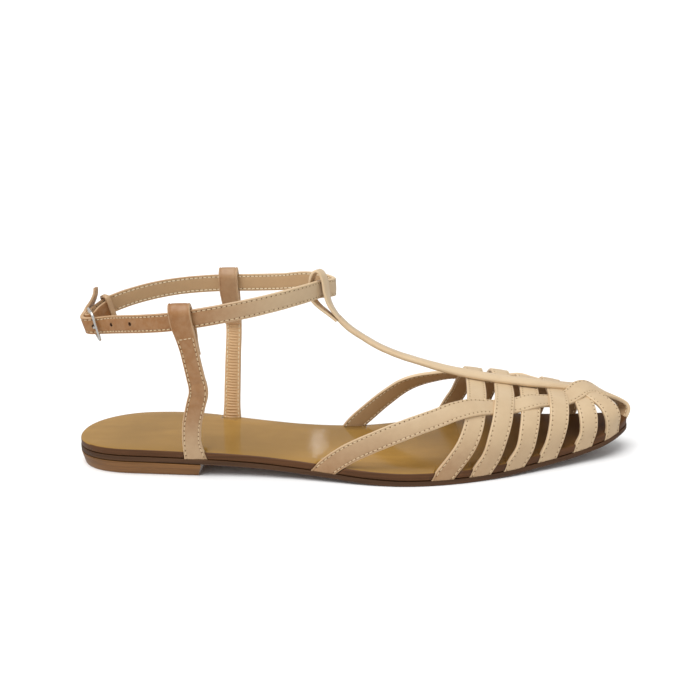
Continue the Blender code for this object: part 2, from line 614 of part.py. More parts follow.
def past_insole(samples):
    """The samples of a strap's end that pass the insole, from a little below it to a little above."""
    kept = []
    for sample in samples:
        height = sample[1].z - insole_top(min(max(sample[1].x, 0), LENGTH))
        if -INSOLE_THICK - 2 * NOTCH_REACH < height < 2 * NOTCH_REACH:
            kept.append(sample)
    return kept


def build_upper(home, cutters, leather, insole):
    """The woven vamp and the T-strap, joined where they cross, in one solid."""
    upper = None
    for name, turns in CAGE.items():
        samples = cage_samples(turns)
        band = ribbon("upper" if upper is None else name, cage_rows(samples),
                      STRAP_THICK, 1.0, home if upper is None else cutters, leather)
        if upper is None:
            upper = band
        else:
            boolean(upper, band, "UNION")
        for place, end, turn in (("start", samples[:70], turns[0]), ("end", samples[-70:], turns[-1])):
            spare = TIP_NOTCH_SPARE if isinstance(turn, Nose) else NOTCH_SPARE
            cutter = notch(name + "_notch_" + place, cage_rows(past_insole(end)), STRAP_THICK, spare, cutters)
            boolean(insole, cutter, "DIFFERENCE")
    side = lambda lean, back: Vector((math.sin(lean), math.cos(lean), math.sin(back)))
    for name, bends, thick in (("t_strap", T_STRAP, T_THICK), ("t_loop", T_LOOP, T_LOOP_THICK)):
        boolean(upper, ribbon(name, free_rows(bends, side), thick, 0.0, cutters), "UNION")
    below = sole_plate("below_straps", cutters, None, -9, LENGTH + 9, 9,
                       lambda x: outsole_top(x) + 1.5 * GAP, lambda x: -30)
    boolean(upper, below, "DIFFERENCE")


def build_quarters(home, cutters, leather, insole):
    side = lambda lean, back: Vector((math.cos(lean), math.sin(lean), 0))
    below = bpy.data.objects["below_straps"]
    for name, bends in (("quarter_strap_lateral", QUARTER_LATERAL), ("quarter_strap_medial", QUARTER_MEDIAL)):
        rows = free_rows(bends, side)
        boolean(ribbon(name, rows, QUARTER_THICK, 0.0, home, leather), below, "DIFFERENCE")
        foot = free_rows(bends[:3], side)
        boolean(insole, notch(name + "_notch", foot, QUARTER_THICK / 2, NOTCH_SPARE, cutters), "DIFFERENCE")


def prong_path():
    """The prong's wire: its tip, the strap's hole, then the ring round the heel bar."""
    ahead = PRONG_TIP - PRONG_RING
    ahead = (ahead - BAR_UP * ahead.dot(BAR_UP)).normalized()
    start = BAR_UP.cross(ahead) * (FRAME_WIRE + PRONG_WIRE + 0.2)
    return [PRONG_TIP, PRONG_HOLE] + arc(PRONG_RING, start, 240, BAR_UP, 12)


def build_ankle(home, cutters, leather):
    """The ankle strap with its folded flap, the slot for the prong and the holes."""
    side = lambda lean, back: Vector((-math.sin(back), math.sin(lean), math.cos(lean)))
    strap = ribbon("ankle_strap", free_rows(ANKLE, side), ANKLE_THICK, 0.0, home, leather)
    ring_end = prong_path()[2]
    before_hole = PRONG_HOLE + (ring_end - PRONG_HOLE).normalized() * 2.2
    boolean(strap, rod("prong_hole", [PRONG_TIP, PRONG_HOLE, before_hole], HOLE_RADIUS, cutters), "DIFFERENCE")
    for i, spot in enumerate(SPARE_HOLES):
        reach = Vector((-0.62, -0.78, 0)) * 2.2
        boolean(strap, rod(f"spare_hole_{i}", [spot - reach, spot + reach], HOLE_RADIUS, cutters), "DIFFERENCE")
    flap = ribbon("flap", free_rows(FLAP, side), FLAP_THICK, 0.0, cutters, leather, 0.2)
    half_slot = BAR_UP * (PRONG_WIRE + GAP)
    slot = rod("prong_slot", [PRONG_RING - half_slot, PRONG_RING + half_slot], FLAP_THICK + 1.6, cutters)
    boolean(flap, slot, "DIFFERENCE")
    boolean(strap, flap, "UNION")


def build_buckle(home, metal):
    """The frame, a closed wire, and the prong that turns on its heel bar."""
    depth = FREE_BAR - HEEL_BAR
    across = depth.normalized()
    bend = 1.5
    path = []
    for bar, way in ((HEEL_BAR, 1), (FREE_BAR, -1)):
        for end in (-way, way):
            corner = bar + BAR_UP * (RAIL * end)
            centre = corner - BAR_UP * (bend * end) + across * (bend * way)
            first, last = (BAR_UP * end, -across * way) if end == -way else (-across * way, BAR_UP * end)
            path += [centre + (first * math.cos(a) + last * math.sin(a)) * bend for a in (0, 0.52, 1.05, math.pi / 2)]
    rod("buckle_frame", path, FRAME_WIRE, home, metal, cyclic=True)
    rod("buckle_prong", prong_path(), PRONG_WIRE, home, metal)


def build_keeper(home, leather):
    """A leather loop round the medial branch, just past the buckle."""
    along = KEEPER_ALONG.normalized()
    out = along.cross(UP).normalized()
    up = out.cross(along)
    corners = ((-1, -0.8), (-0.8, -1), (0.8, -1), (1, -0.8), (1, 0.8), (0.8, 1), (-0.8, 1), (-1, 0.8))
    rings = []
    for grow, place in ((KEEPER_THICK, -1), (KEEPER_THICK, 1), (0, 1), (0, -1)):
        wide, high = KEEPER_ROOM[0] / 2 + grow, KEEPER_ROOM[1] / 2 + grow
        middle = KEEPER + along * (place * KEEPER_WIDE / 2)
        rings.append([middle + out * (w * wide) + up * (h * high) for w, h in corners])
    loft("keeper", rings, home, leather, ring_round=True)


def main():
    clear_scene()
    home = collection("t_strap_sandal")
    cutters = collection("cutters")
    leather = material("nude_leather", (0.62, 0.46, 0.30), 0.45)
    metal = material("buckle_metal", (0.75, 0.74, 0.70), 0.25, 1.0)
    insole = build_sole(home)
    build_upper(home, cutters, leather, insole)
    build_quarters(home, cutters, leather, insole)
    build_ankle(home, cutters, leather)
    build_buckle(home, metal)
    build_keeper(home, leather)


main()
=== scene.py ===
"""Looks of the T-strap sandal: stitched leather straps, glossy footbed, stacked heel and wire buckle.

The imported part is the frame. Table sizes are millimetres: X runs from the heel's back to the toe, -Y is the outer
side and Z = 0 the floor. CENTRE then moves the origin under the middle of the shoe, as in the frame.
"""

import math
from collections import namedtuple
from functools import lru_cache

import bpy
import numpy as np
from bpy.props import FloatProperty, FloatVectorProperty, IntProperty, PointerProperty
from mathutils import Matrix, Quaternion, Vector


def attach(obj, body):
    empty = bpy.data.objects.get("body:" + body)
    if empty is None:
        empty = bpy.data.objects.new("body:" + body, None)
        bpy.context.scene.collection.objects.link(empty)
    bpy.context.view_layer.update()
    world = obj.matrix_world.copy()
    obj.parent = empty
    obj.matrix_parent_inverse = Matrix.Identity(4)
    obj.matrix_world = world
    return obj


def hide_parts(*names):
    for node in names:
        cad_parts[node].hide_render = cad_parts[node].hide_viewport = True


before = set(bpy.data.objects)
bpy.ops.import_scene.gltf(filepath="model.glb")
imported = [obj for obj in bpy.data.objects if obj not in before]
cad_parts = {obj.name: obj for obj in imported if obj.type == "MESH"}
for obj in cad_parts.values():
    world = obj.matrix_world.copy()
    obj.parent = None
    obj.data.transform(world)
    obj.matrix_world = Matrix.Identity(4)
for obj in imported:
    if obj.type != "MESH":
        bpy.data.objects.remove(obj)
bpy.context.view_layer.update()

bl_info = {
    "name": "T-strap sandal",
    "version": (1, 0),
    "blender": (4, 5, 0),
    "location": "3D View > Sidebar > Sandal",
    "description": "Builds the visible pieces of a woven T-strap sandal round its packed frame",
    "category": "Object",
}

MM = 0.001
UP = Vector((0, 0, 1))
CENTRE = Vector((125.05, -4.65, 0))
BODY = "root"

# ---------------------------------------------------------------- driving sizes, in millimetres
LENGTH = 247.0  # the outsole, heel's back to toe tip
GAP = 0.3  # what glued or touching pieces keep between them
INSOLE_THICK = 3.1
OUTSOLE_THICK = 2.2
INSOLE_INSET = 0.2  # how far the insole's edge stands back from the outsole's
STRAP_SINK = 0.2  # how far inside the sole's outline the straps' outer face meets the insole, in its notches
LAST_BULGE = 0.3  # how far the last swells past the sole's outline above the footbed
NOSE_OVERHANG = 2.6  # and how much further it reaches past the toe's tip
HEEL_FRONT = 59.0
HEEL_RAKE = 1.0  # how far the heel's front and back faces lean in at the floor
HEEL_TAPER = 1.6

HEEL_ROUND = 29.0  # length over which the heel's outline closes
TOE_ROUND = 16.0
ROUNDNESS = 2.2  # exponent of both round ends, 2 would be an ellipse
SECTION_POWER = 0.82  # how square the last's cross-section is, 1 would be an ellipse
NOSE = 238.0  # the last's toe is rounded about a core that ends here
CORE_HEIGHT = 2.5

STRAP_WIDE = 8.6
STRAP_THICK = 1.65
MOST_DRAPE = 1.1  # how far a vamp strap's edges can bend down to the last, leather being stiff
BINDING = 0.25  # how deep an upper strap presses into the one that it crosses
T_WIDE = 5.8
T_THICK = 2.4
T_LOOP_THICK = 1.3
ANKLE_WIDE = 8.0
ANKLE_THICK = 1.8
QUARTER_WIDE = 8.3
LOOP_WIDE = 9.5
QUARTER_THICK = 1.7
SEWN_QUARTER = 57.0  # length of a quarter strap up to its loop, which has no stitch rows
SEWN_ANKLE = (0.01, 0.94)  # where the ankle strap's stitch rows start and end, as shares of its length
PARED_END = (13, 0.42)  # length of the ankle strap's thin end, and the share of its thickness that it loses

NOTCH_STEP = 0.8  # from row to row of a notch's cutter
NOTCH_REACH = 2.8  # how far above and below the insole a notch's cutter reaches
NOTCH_OVERRUN = 5.0  # how far a notch's cutter passes the sole's outline
NOTCH_ROOM = 0.06  # how far a notch stands off its strap, behind it and on either side
TIP_NOTCH_ROOM = 0.4  # the same at the toe's tip, where the strap's edges turn in
COVER_THICK, COVER_THICK_HEEL = 0.03, 0.3  # how far down the insole's rim its cover shows, ahead and over the heel
HEEL_LAYER = 3.1  # height of one layer of the heel's stack

# ---------------------------------------------------------------- the last, with the strap leather on it
Station = namedtuple("Station", "x centre half foot")
Crest = namedtuple("Crest", "x height")
Ridge = namedtuple("Ridge", "x swell")


def rows_of(kind, *rows):
    """A table's rows as named tuples."""
    return [kind(*row) for row in rows]


STATIONS = rows_of(
    Station,
    (0, 3.8, 25.8, 11.7), (26, 3.5, 26.8, 11.7), (38, 2.6, 27.5, 11.6), (56, -0.1, 27.1, 11.2),
    (70, -2.6, 25.6, 10.5), (85, -5.3, 24.7, 9.6), (100, -7.8, 25.2, 8.5), (115, -9.7, 27.3, 7.4),
    (130, -10.1, 30.8, 6.2), (145, -8.7, 34.3, 5.6), (160, -6.0, 36.3, 5.6), (175, -2.9, 36.2, 5.7),
    (190, -0.5, 33.8, 6.3), (203, 0.8, 29.7, 7.4), (215, 1.0, 24.8, 8.5), (227, 0.5, 19.2, 10.3),
    (237, -0.4, 14.2, 12.7), (247, -1.4, 9.4, 16.0),
)
# top of the last above the footbed, before the toe's rounding
CREST = rows_of(
    Crest,
    (100, 88.0), (112, 67.0), (122, 52.0), (134, 42.0), (148, 36.5), (162, 31.95), (176, 28.4), (191, 25.0),
    (206, 21.2), (217, 18.5), (228, 15.7), (238, 12.6), (249, 9.0),
)
# the instep's ridge, a little to the medial side, as a share of the crest's height
RIDGE = rows_of(
    Ridge,
    (148, 0.0), (164, 0.1), (177, 0.15), (191, 0.16), (206, 0.14), (217, 0.12), (228, 0.09), (236, 0.03),
    (242, 0.0),
)
RIDGE_AWAY, RIDGE_WIDE = 8.0, 11.0  # from the centre line to the ridge, and its half width
OFF_LAST = 9.0  # fullness where the last has no section
SLIM = 0.01  # a height or half width too small to be a section


def path_lengths(places):
    """Length of the path up to each of its places."""
    lengths = [0.0]
    for before, here in zip(places, places[1:]):
        lengths.append(lengths[-1] + (here - before).length)
    return lengths


def spline(knots, values):
    """The smooth curve through values, numbers or vectors, at the rising knots."""
    spans = [b - a for a, b in zip(knots, knots[1:])]
    rises = [(b - a) * (1 / span) for a, b, span in zip(values, values[1:], spans)]
    slopes = [rises[0]]
    for i in range(1, len(spans)):
        before, after = spans[i - 1], spans[i]
        slopes.append((rises[i - 1] * after + rises[i] * before) * (1 / (before + after)))
    slopes.append(rises[-1])

    def at(t):
        t = min(max(t, knots[0]), knots[-1])
        i = max(k for k in range(len(spans)) if knots[k] <= t)
        f = (t - knots[i]) / spans[i]
        start = values[i] * (2 * f**3 - 3 * f**2 + 1) + slopes[i] * (spans[i] * (f**3 - 2 * f**2 + f))
        return start + values[i + 1] * (3 * f**2 - 2 * f**3) + slopes[i + 1] * (spans[i] * (f**3 - f**2))

    return at


def column(rows, name):
    return spline([row.x for row in rows], [getattr(row, name) for row in rows])


centre_of = column(STATIONS, "centre")
half_of = column(STATIONS, "half")
foot_of = column(STATIONS, "foot")  # height of the footbed
crest_of = column(CREST, "height")
ridge_of = column(RIDGE, "swell")


def end_rounding(x):
    """1 along the shoe, falling to 0 at the heel's back and at the toe's tip."""
    if x < HEEL_ROUND:
        away = 1 - x / HEEL_ROUND
    elif x > LENGTH - TOE_ROUND:
        away = 1 - (LENGTH - x) / TOE_ROUND
    else:
        return 1.0
    return max(0.0, 1 - min(away, 1) ** ROUNDNESS) ** (1 / ROUNDNESS)


def edges(x, margin):
    """Lateral and medial edge of the insole's outline, set out by margin."""
    inner = (x + margin) * LENGTH / (LENGTH + 2 * margin)
    half = (half_of(inner) + margin) * end_rounding(inner)
    return centre_of(inner) - half, centre_of(inner) + half


def last_rise(x):
    """Height of the last's crest above the footbed."""
    inner = x * LENGTH / (LENGTH + LAST_BULGE + NOSE_OVERHANG)
    return crest_of(x) * (end_rounding(inner) if x > LENGTH / 2 else 1)


def swell(x, y):
    """How many times higher than its crest's ellipse the last is, over y."""
    return 1 + ridge_of(x) * math.exp(-(((y - centre_of(x) - RIDGE_AWAY) / RIDGE_WIDE) ** 2))


def last_edges(x, height):
    """The last's sides at a height, given as a share of the crest's: drawn in at the footbed's edge."""
    drawn_in = (1 - min(max(height, 0), 1)) ** 2
    inner = x * LENGTH / (LENGTH + NOSE_OVERHANG * (1 - drawn_in))
    return edges(inner, LAST_BULGE - (LAST_BULGE + STRAP_SINK) * drawn_in)


@lru_cache(maxsize=None)
def last_section(x):
    """Points (y, z, way round) of the last's cross-section, from the lateral edge over the crest."""
    points, way = [], 0.0
    for step in range(61):
        angle = math.pi * step / 60
        height = abs(math.sin(angle)) ** SECTION_POWER
        lateral, medial = last_edges(x, height)
        side = -math.copysign(abs(math.cos(angle)) ** SECTION_POWER, math.cos(angle))
        y = (lateral + medial) / 2 + (medial - lateral) / 2 * side
        z = foot_of(x) + last_rise(x) * height * swell(x, y)
        if points:
            way += math.hypot(y - points[-1][0], z - points[-1][1])
        points.append((y, z, way))
    return points


def last_point(x, around):
    """The last's surface: around is 0 at the lateral footbed edge and 1 at the medial, straight down past them."""
    points = last_section(round(x, 4))
    way = around * points[-1][2]
    if way <= 0:
        return Vector((x, points[0][0], points[0][1] + way))
    if way >= points[-1][2]:
        return Vector((x, points[-1][0], points[-1][1] - way + points[-1][2]))
    i = next(k for k in range(1, len(points)) if points[k][2] >= way)
    (y0, z0, w0), (y1, z1, w1) = points[i - 1], points[i]
    f = (way - w0) / (w1 - w0)
    return Vector((x, y0 + (y1 - y0) * f, z0 + (z1 - z0) * f))


def fullness(point):
    """Under 1 inside the last and over 1 outside; below the footbed its sides run straight down."""
    rise = last_rise(point.x)
    if rise < SLIM:
        return OFF_LAST
    height = max(0, point.z - foot_of(point.x)) / (rise * swell(point.x, point.y))
    lateral, medial = last_edges(point.x, height)
    half = (medial - lateral) / 2
    if half < SLIM:
        return OFF_LAST
    side = abs(point.y - (lateral + medial) / 2) / half
    return side ** (2 / SECTION_POWER) + height ** (2 / SECTION_POWER)


def seat(point):
    """Moves a point onto the last, along the line from the last's core, which ends behind the nose."""
    core = Vector((min(point.x, NOSE), centre_of(min(point.x, NOSE)), max(point.z, 0)))
    core.z = min(core.z, foot_of(core.x) + CORE_HEIGHT)
    reach = point - core
    low, high = 0.2, 2.5
    for _ in range(34):
        middle = (low + high) / 2
        if fullness(core + reach * middle) < 1:
            low = middle
        else:
            high = middle
    return core + reach * low


def outward(point, step=0.15):
    """The last's outward normal."""
    slope = [
        fullness(point + axis * step) - fullness(point - axis * step)
        for axis in (Vector((1, 0, 0)), Vector((0, 1, 0)), UP)
    ]
    return Vector(slope).normalized()


# ---------------------------------------------------------------- straps of the vamp
# lift counts the straps that lie underneath; tilt is how much higher the strap's medial edge stands, in mm
Turn = namedtuple("Turn", "x around lift tilt", defaults=(0, 0))
Nose = namedtuple("Nose", "x y z lift tilt", defaults=(0, 0))  # over the toe, where the sections grow too small
CAGE = {
    "first_cross": rows_of(
        Turn,
        (157, -0.12), (161, -0.03), (167, 0.04), (171, 0.09), (174, 0.15), (176, 0.22), (177.5, 0.31),
        (179, 0.5), (178.5, 0.69), (177, 0.79), (175, 0.87), (171, 0.94), (166, 1.02), (162, 1.12),
    ),
    "second_cross": rows_of(
        Turn,
        (173, -0.12), (177, -0.03), (182, 0.04), (185, 0.12, 0.1), (187, 0.19, 0.85), (188.5, 0.26, 1),
        (190, 0.34, 0.75), (191.5, 0.5), (191, 0.66, 0.75), (190.5, 0.74, 1), (189.5, 0.81, 0.85),
        (188, 0.88, 0.1), (185.5, 0.95), (181.5, 1.03), (178, 1.12),
    ),
    "third_cross": rows_of(
        Turn,
        (188, -0.13), (192, -0.03), (196.5, 0.04), (199, 0.14), (200.5, 0.23), (202, 0.36), (203, 0.5),
        (203, 0.64), (202.5, 0.77), (201, 0.88), (198.5, 0.96), (195, 1.03), (192, 1.13),
    ),
    "fourth_cross": rows_of(
        Turn,
        (203, -0.15), (207, -0.04), (210, 0.04), (212, 0.13, 0.1), (213, 0.22, 0.8), (214, 0.32, 1),
        (214.7, 0.41, 0.6), (215, 0.5, 0.1), (215, 0.59, 0.6), (214.8, 0.68, 1), (214, 0.78, 0.8),
        (213, 0.87, 0.1), (211.5, 0.96), (208.5, 1.04), (205, 1.15),
    ),
    "fifth_cross": rows_of(
        Turn,
        (220, -0.2), (223.5, -0.05), (226, 0.04), (226.5, 0.16), (226, 0.3), (225, 0.5), (226, 0.7),
        (226.5, 0.84), (226, 0.96), (223.5, 1.05), (220, 1.2),
    ),
    # starts at the medial waist and ends on the lateral side of the toe
    "inner_diagonal": rows_of(
        Turn,
        (115.5, 1.1), (124, 1.0), (132, 0.94), (141, 0.875), (150.5, 0.815), (160.5, 0.775, 0.2),
        (169.5, 0.755, 0.9), (178, 0.75, 1), (184, 0.742, 0.2), (190.5, 0.735), (196, 0.72, 0.3),
        (202.5, 0.7, 1), (208.5, 0.675, 0.3), (214.5, 0.64), (220, 0.59, 0.5), (226, 0.51, 1), (231, 0.42, 0.6),
        (235.5, 0.3, 0.05), (238, 0.15), (238.5, 0.0), (236.5, -0.2),
    ),
    # starts at the lateral waist and ends on the medial side of the toe
    "outer_diagonal": rows_of(
        Turn,
        (103, -0.08), (113, -0.01), (121, 0.04), (134, 0.11), (146, 0.16), (158, 0.2, 0.05), (167, 0.23, 0.8),
        (176, 0.25, 1), (182, 0.258, 0.3), (188.5, 0.265), (195, 0.275, 0.3), (201.5, 0.295, 1),
        (208, 0.32, 0.3), (214, 0.34), (218.5, 0.365, 0.2), (223, 0.41, 1.2, 1.2), (227, 0.475, 1.9, 2.6),
    ) + rows_of(
        Nose,
        (231.5, 1.8, 27, 1.6, 3), (237, 3.6, 26, 0.3, 1.4), (242.5, 4.1, 24), (246.5, 3.7, 20.5),
        (248.3, 3.3, 16, 0.5), (248.6, 3.0, 11, 1.2),
    ),
}

# ---------------------------------------------------------------- straps in free air
# centre line, sideways lean of the strap in degrees, its width, and its lean towards the heel in degrees
Bend = namedtuple("Bend", "x y z lean wide back", defaults=(0,))
T_STRAP = rows_of(
    Bend,
    (221.5, 0.6, 28.6, 0, 5.0, 8), (215, 0.3, 29.9, 0, 5.4, 10), (206.6, -1.5, 31.4, 0, T_WIDE, 14),
    (191.2, -3.2, 34.05, 0, T_WIDE, 18), (176.1, -4.7, 37.2, 0, T_WIDE, 18), (165.9, -5.0, 39.7, 0, T_WIDE, 12),
    (154.3, -4.6, 43.3, 0, T_WIDE, 5), (144.1, -4.0, 46.75, 0, T_WIDE), (136, -3.8, 50.45, 0, T_WIDE),
    (129.9, -3.8, 54.35, 0, T_WIDE), (123.4, -4.4, 59.2, 0, T_WIDE), (119.2, -5, 63.6, 0, 5.8),
)
T_LOOP = rows_of(
    Bend,
    (121.6, -4.6, 61.0, 0, 5.8), (118.1, -5.1, 65.3, 6, 5.8), (115.4, -5.6, 70.1, 16, 5.4),
    (114.1, -6, 75, 26, 5.0), (113.5, -6, 80, 28, 5.0), (112.2, -6, 83.8, 28, 5.0), (110.6, -6, 84.9, 28, 5.0),
    (109.0, -6, 83.6, 28, 5.0), (107.9, -6, 79, 28, 5.0), (107.9, -6, 73.4, 24, 5.0),
    (110.7, -5.7, 69.5, 16, 5.0), (114.8, -5.3, 65.8, 6, 5.0), (118.1, -5, 62.8, 0, 5.0),
)
# from behind the keeper, medial side, front, lateral side, round the buckle to the free tail
ANKLE = rows_of(
    Bend,
    (15.8, 7.4, 69.2, 0, ANKLE_WIDE), (21, 11.2, 70.8, 0, ANKLE_WIDE), (33, 17.8, 73.3, 0, ANKLE_WIDE),
    (46, 23.6, 74.5, 0, ANKLE_WIDE), (58, 26.2, 74.9, 0, ANKLE_WIDE), (70, 26.2, 75, 0, ANKLE_WIDE),
    (82, 23.8, 75.3, 0, ANKLE_WIDE), (94, 18.9, 76.2, 0, ANKLE_WIDE), (105, 13.4, 77.6, 0, ANKLE_WIDE),
    (112.5, 10.0, 77.0, 0, ANKLE_WIDE), (116.0, 7.6, 76.2, 0, ANKLE_WIDE), (117.3, 4.4, 75.9, 0, ANKLE_WIDE),
    (115.9, 1.2, 76.0, 0, ANKLE_WIDE), (113, -2.4, 76.3, 0, ANKLE_WIDE), (110.7, -6, 76.6, 0, ANKLE_WIDE),
    (108.2, -10.8, 76.6, 0, ANKLE_WIDE), (104, -15.6, 76.2, 0, ANKLE_WIDE), (96, -21.2, 75, 0, ANKLE_WIDE),
    (82, -26.4, 72.8, 0, ANKLE_WIDE), (66, -28.2, 70.3, 0, ANKLE_WIDE), (52, -26.8, 68.2, 0, ANKLE_WIDE),
    (38, -21.6, 66.4, 0, ANKLE_WIDE), (27, -14.6, 64.9, 0, ANKLE_WIDE), (20.8, -9.6, 63.8, 0, ANKLE_WIDE),
    (17.2, -7.1, 63.1, 0, 7.9, 6), (13.8, -5.7, 62.7, 0, 7.7, 13), (10.6, -5.5, 62.6, 0, 7.7, 14),
    (8.3, -4.6, 62.7, -3, 7.7, 14), (7.2, -2.3, 63.2, -12, 7.7, 14), (7.2, 0.3, 64.1, -28, 7.8, 11),
    (7.4, 2.2, 65.9, -48, 7.4, 5), (8.0, 3.2, 68.4, -68, 6.8), (9.6, 3.4, 70.9, -80, 6.2),
    (11.0, 3.4, 73.3, -85, 6.0), (11.9, 3.5, 75.7, -88, 5.4), (12.1, 3.5, 77.8, -90, 4.6),
)
# the medial end of the ankle strap, thinned and folded round the buckle's heel bar
FLAP = rows_of(
    Bend,
    (18.6, 9.6, 70.1, 0, 7.7), (15.0, 6.6, 68.9, 0, 7.7), (11.4, 2.3, 66.4, 0, 7.5, 10),
    (9.2, -0.7, 64.5, 0, 7.0, 14), (8.7, -2.3, 64.0, 0, 7.2, 14), (9.25, -3.65, 64.0, 0, 7.2, 14),
    (10.7, -4.1, 64.3, 0, 7.2, 14), (12.0, -3.3, 64.6, 0, 7.2, 14), (12.4, -1.7, 64.8, 0, 7.2, 13),
    (13.1, 0.7, 65.6, 0, 7.4, 8), (15.1, 3.5, 67.4, 0, 7.6), (17.3, 6.1, 68.7, 0, 7.5),
)
QUARTER_LATERAL = rows_of(
    Bend,
    (57.3, -26.0, 5.0, 0, 11.0), (56.6, -26.0, 8.8, 0, 9.6), (55.8, -26.4, 14, 0, 8.4),
    (56.2, -27.0, 22, 0, QUARTER_WIDE), (58.6, -27.7, 32, -2, QUARTER_WIDE),
    (60.3, -28.2, 38.5, -3, QUARTER_WIDE), (59.6, -28.6, 44, -4, 8.0), (58.5, -29.0, 51, -5, 7.9),
    (57.6, -29.4, 57, -6, 8.1), (56.5, -30.1, 63, -6, 8.9), (55.4, -30.35, 68, -6, LOOP_WIDE),
    (54.8, -30.3, 72.8, -6, LOOP_WIDE), (54.5, -27.6, 75.3, -6, LOOP_WIDE), (54.7, -24.9, 72.8, -6, LOOP_WIDE),
    (55.6, -24.6, 67, -6, LOOP_WIDE), (56.6, -25.1, 62.6, -6, 8.6), (57.3, -26.6, 59, -6, 8.0),
    (58.2, -27.05, 53.5, -5, 7.8),
)
QUARTER_MEDIAL = rows_of(
    Bend,
    (66.0, 22.6, 4.0, 0, 10.6), (66.0, 22.6, 8.6, 0, 9.2), (66.2, 23.1, 14, 0, 8.2), (66.8, 24.4, 25, 0, 7.8),
    (67.7, 25.8, 40, 0, 7.5), (68.6, 27.0, 54, 0, 7.5), (68.4, 27.8, 61, 0, 8.0), (67.9, 28.4, 68, -2, 8.9),
    (67.6, 28.7, 74, -3, 9.0), (67.6, 28.6, 79.0, -3, 9.0), (67.7, 26.2, 81.4, -3, 9.0),
    (67.7, 23.7, 79.0, -3, 9.0), (67.7, 23.5, 73, -3, 9.0), (68.0, 24.2, 67, -2, 8.4),
    (68.3, 25.5, 61.5, 0, 7.8), (68.5, 25.15, 56, 0, 7.4),
)

# ---------------------------------------------------------------- buckle and keeper
HEEL_BAR = Vector((10.5, -2.2, 64.2))  # middles of the frame's two bars
FREE_BAR = Vector((13.9, -8.2, 62.3))
BAR_UP = Vector((-0.25, 0.1, 0.963)).normalized()
RAIL = 6.0  # from a bar's middle up or down to the frame's rails
FRAME_WIRE = 0.75  # radii of the wires
PRONG_WIRE = 0.5
FLAP_THICK = 1.1
PRONG_RING = HEEL_BAR - BAR_UP * 1.6  # where the prong's ring goes round the heel bar
PRONG_HOLE = Vector((12.2, -5.6, 62.9))
PRONG_TIP = Vector((12.6, -7.3, 62.0))
HOLE_RADIUS = 0.85
SPARE_HOLES = [Vector((21.8, -10.4, 64.0)), Vector((31.8, -18.0, 65.7))]
RING_TURN = 240  # degrees of the prong's ring
RING_ROOM = 0.2  # clear of the heel bar inside the ring
FRAME_CORNER = 1.5  # radius of the frame's corners
CORNER_STEPS = (0, 0.26, 0.52, 0.78, 1.05, 1.31, math.pi / 2)  # radians round a corner
HOLE_REACH = 2.2  # how far a hole's cutter reaches past the strap's middle
HOLE_ACROSS = Vector((-0.62, -0.78, 0))  # the way that a spare hole goes through the strap
SLOT_RADIUS = FLAP_THICK + 1.6  # of the cutter that lets the prong through the flap
KEEPER = Vector((15.95, 6.1, 68.72))  # middle of the keeper, on the medial branch
KEEPER_ALONG = Vector((0.72, 0.64, 0.28))
KEEPER_WIDE, KEEPER_THICK = 2.2, 0.9
KEEPER_ROOM = (4.6, 9.4)  # clear width across the strap's faces, and over its edges
KEEPER_STEPS = 48  # sections round the keeper
KEEPER_SQUARE = 0.36  # how square the loop is, 1 would be an ellipse
KEEPER_SECTION = (  # across its width and out of its face, as shares of the half width and half thickness
    (-1, -1), (-1.06, 0), (-0.97, 0.8), (-0.8, 1.02), (0, 1.1),
    (0.8, 1.02), (0.97, 0.8), (1.06, 0), (1, -1), (0, -1),
)


# ---------------------------------------------------------------- paths of the straps
def thin_out(samples, turn=math.radians(8), least=0.8, reach=8.0):
    """Keeps only the samples that the path's bends need: each is (position, ...)."""
    kept = [samples[0]]
    for here, after in zip(samples[1:], samples[2:]):
        ahead = (after[0] - here[0]).normalized()
        behind = here[0] - kept[-1][0]
        if behind.length > reach or (behind.length > least and behind.angle(ahead) > turn):
            kept.append(here)
    kept.append(samples[-1])
    return kept


def cage_samples(turns, step):
    """Points step apart along a strap's outer face: lifted place, seat on the last, rise above that and tilt."""
    ground = [
        last_point(turn.x, turn.around) if isinstance(turn, Turn) else seat(Vector(turn[:3])) for turn in turns
    ]
    knots = path_lengths(ground)
    place = spline(knots, ground)
    lift, tilt = (spline(knots, [getattr(turn, key) for turn in turns]) for key in ("lift", "tilt"))
    samples, count = [], round(knots[-1] / step)
    for k in range(count + 1):
        t = knots[-1] * k / count
        spot = seat(place(t))
        rise = max(0, lift(t)) * (STRAP_THICK - BINDING)
        samples.append((spot + outward(spot) * rise, spot, rise, tilt(t)))
    return samples


def row_across(spot, ahead, rise, tilt):
    """Three points across a strap that is bent down to the last as far as stiff leather goes."""
    across = outward(spot).cross(ahead).normalized()
    row = []
    for share in (-0.5, 0, 0.5):
        level = spot + across * (share * STRAP_WIDE)
        drape = seat(level) - level
        there = level + drape * min(1, MOST_DRAPE / max(drape.length, 0.001))
        row.append(there + outward(there) * (rise + tilt * share))
    return row


def rows_along(samples, reach=1):
    """The row across each sample, its direction taken from the samples that many before and after it."""
    spots = [sample[1] for sample in samples]
    rows = []
    for i, (_, spot, rise, tilt) in enumerate(samples):
        ahead = spots[min(i + reach, len(spots) - 1)] - spots[max(i - reach, 0)]
        rows.append(row_across(spot, ahead, rise, tilt))
    return rows


def past_insole(samples):
    """The samples of a strap's end that pass the insole, from a little below it to a little above."""
    kept = []
    for sample in samples:
        height = sample[1].z - insole_top(on_sole(sample[1].x))
        if -INSOLE_THICK - 2 * NOTCH_REACH < height < 2 * NOTCH_REACH:
            kept.append(sample)
    return kept


def on_sole(x):
    """The nearest place along the sole."""
    return min(max(x, 0), LENGTH)


def insole_top(x):
    return foot_of(x)


def outsole_top(x):
    return foot_of(x) - INSOLE_THICK - GAP


def outsole_bottom(x):
    return max(0.0, outsole_top(x) - OUTSOLE_THICK)


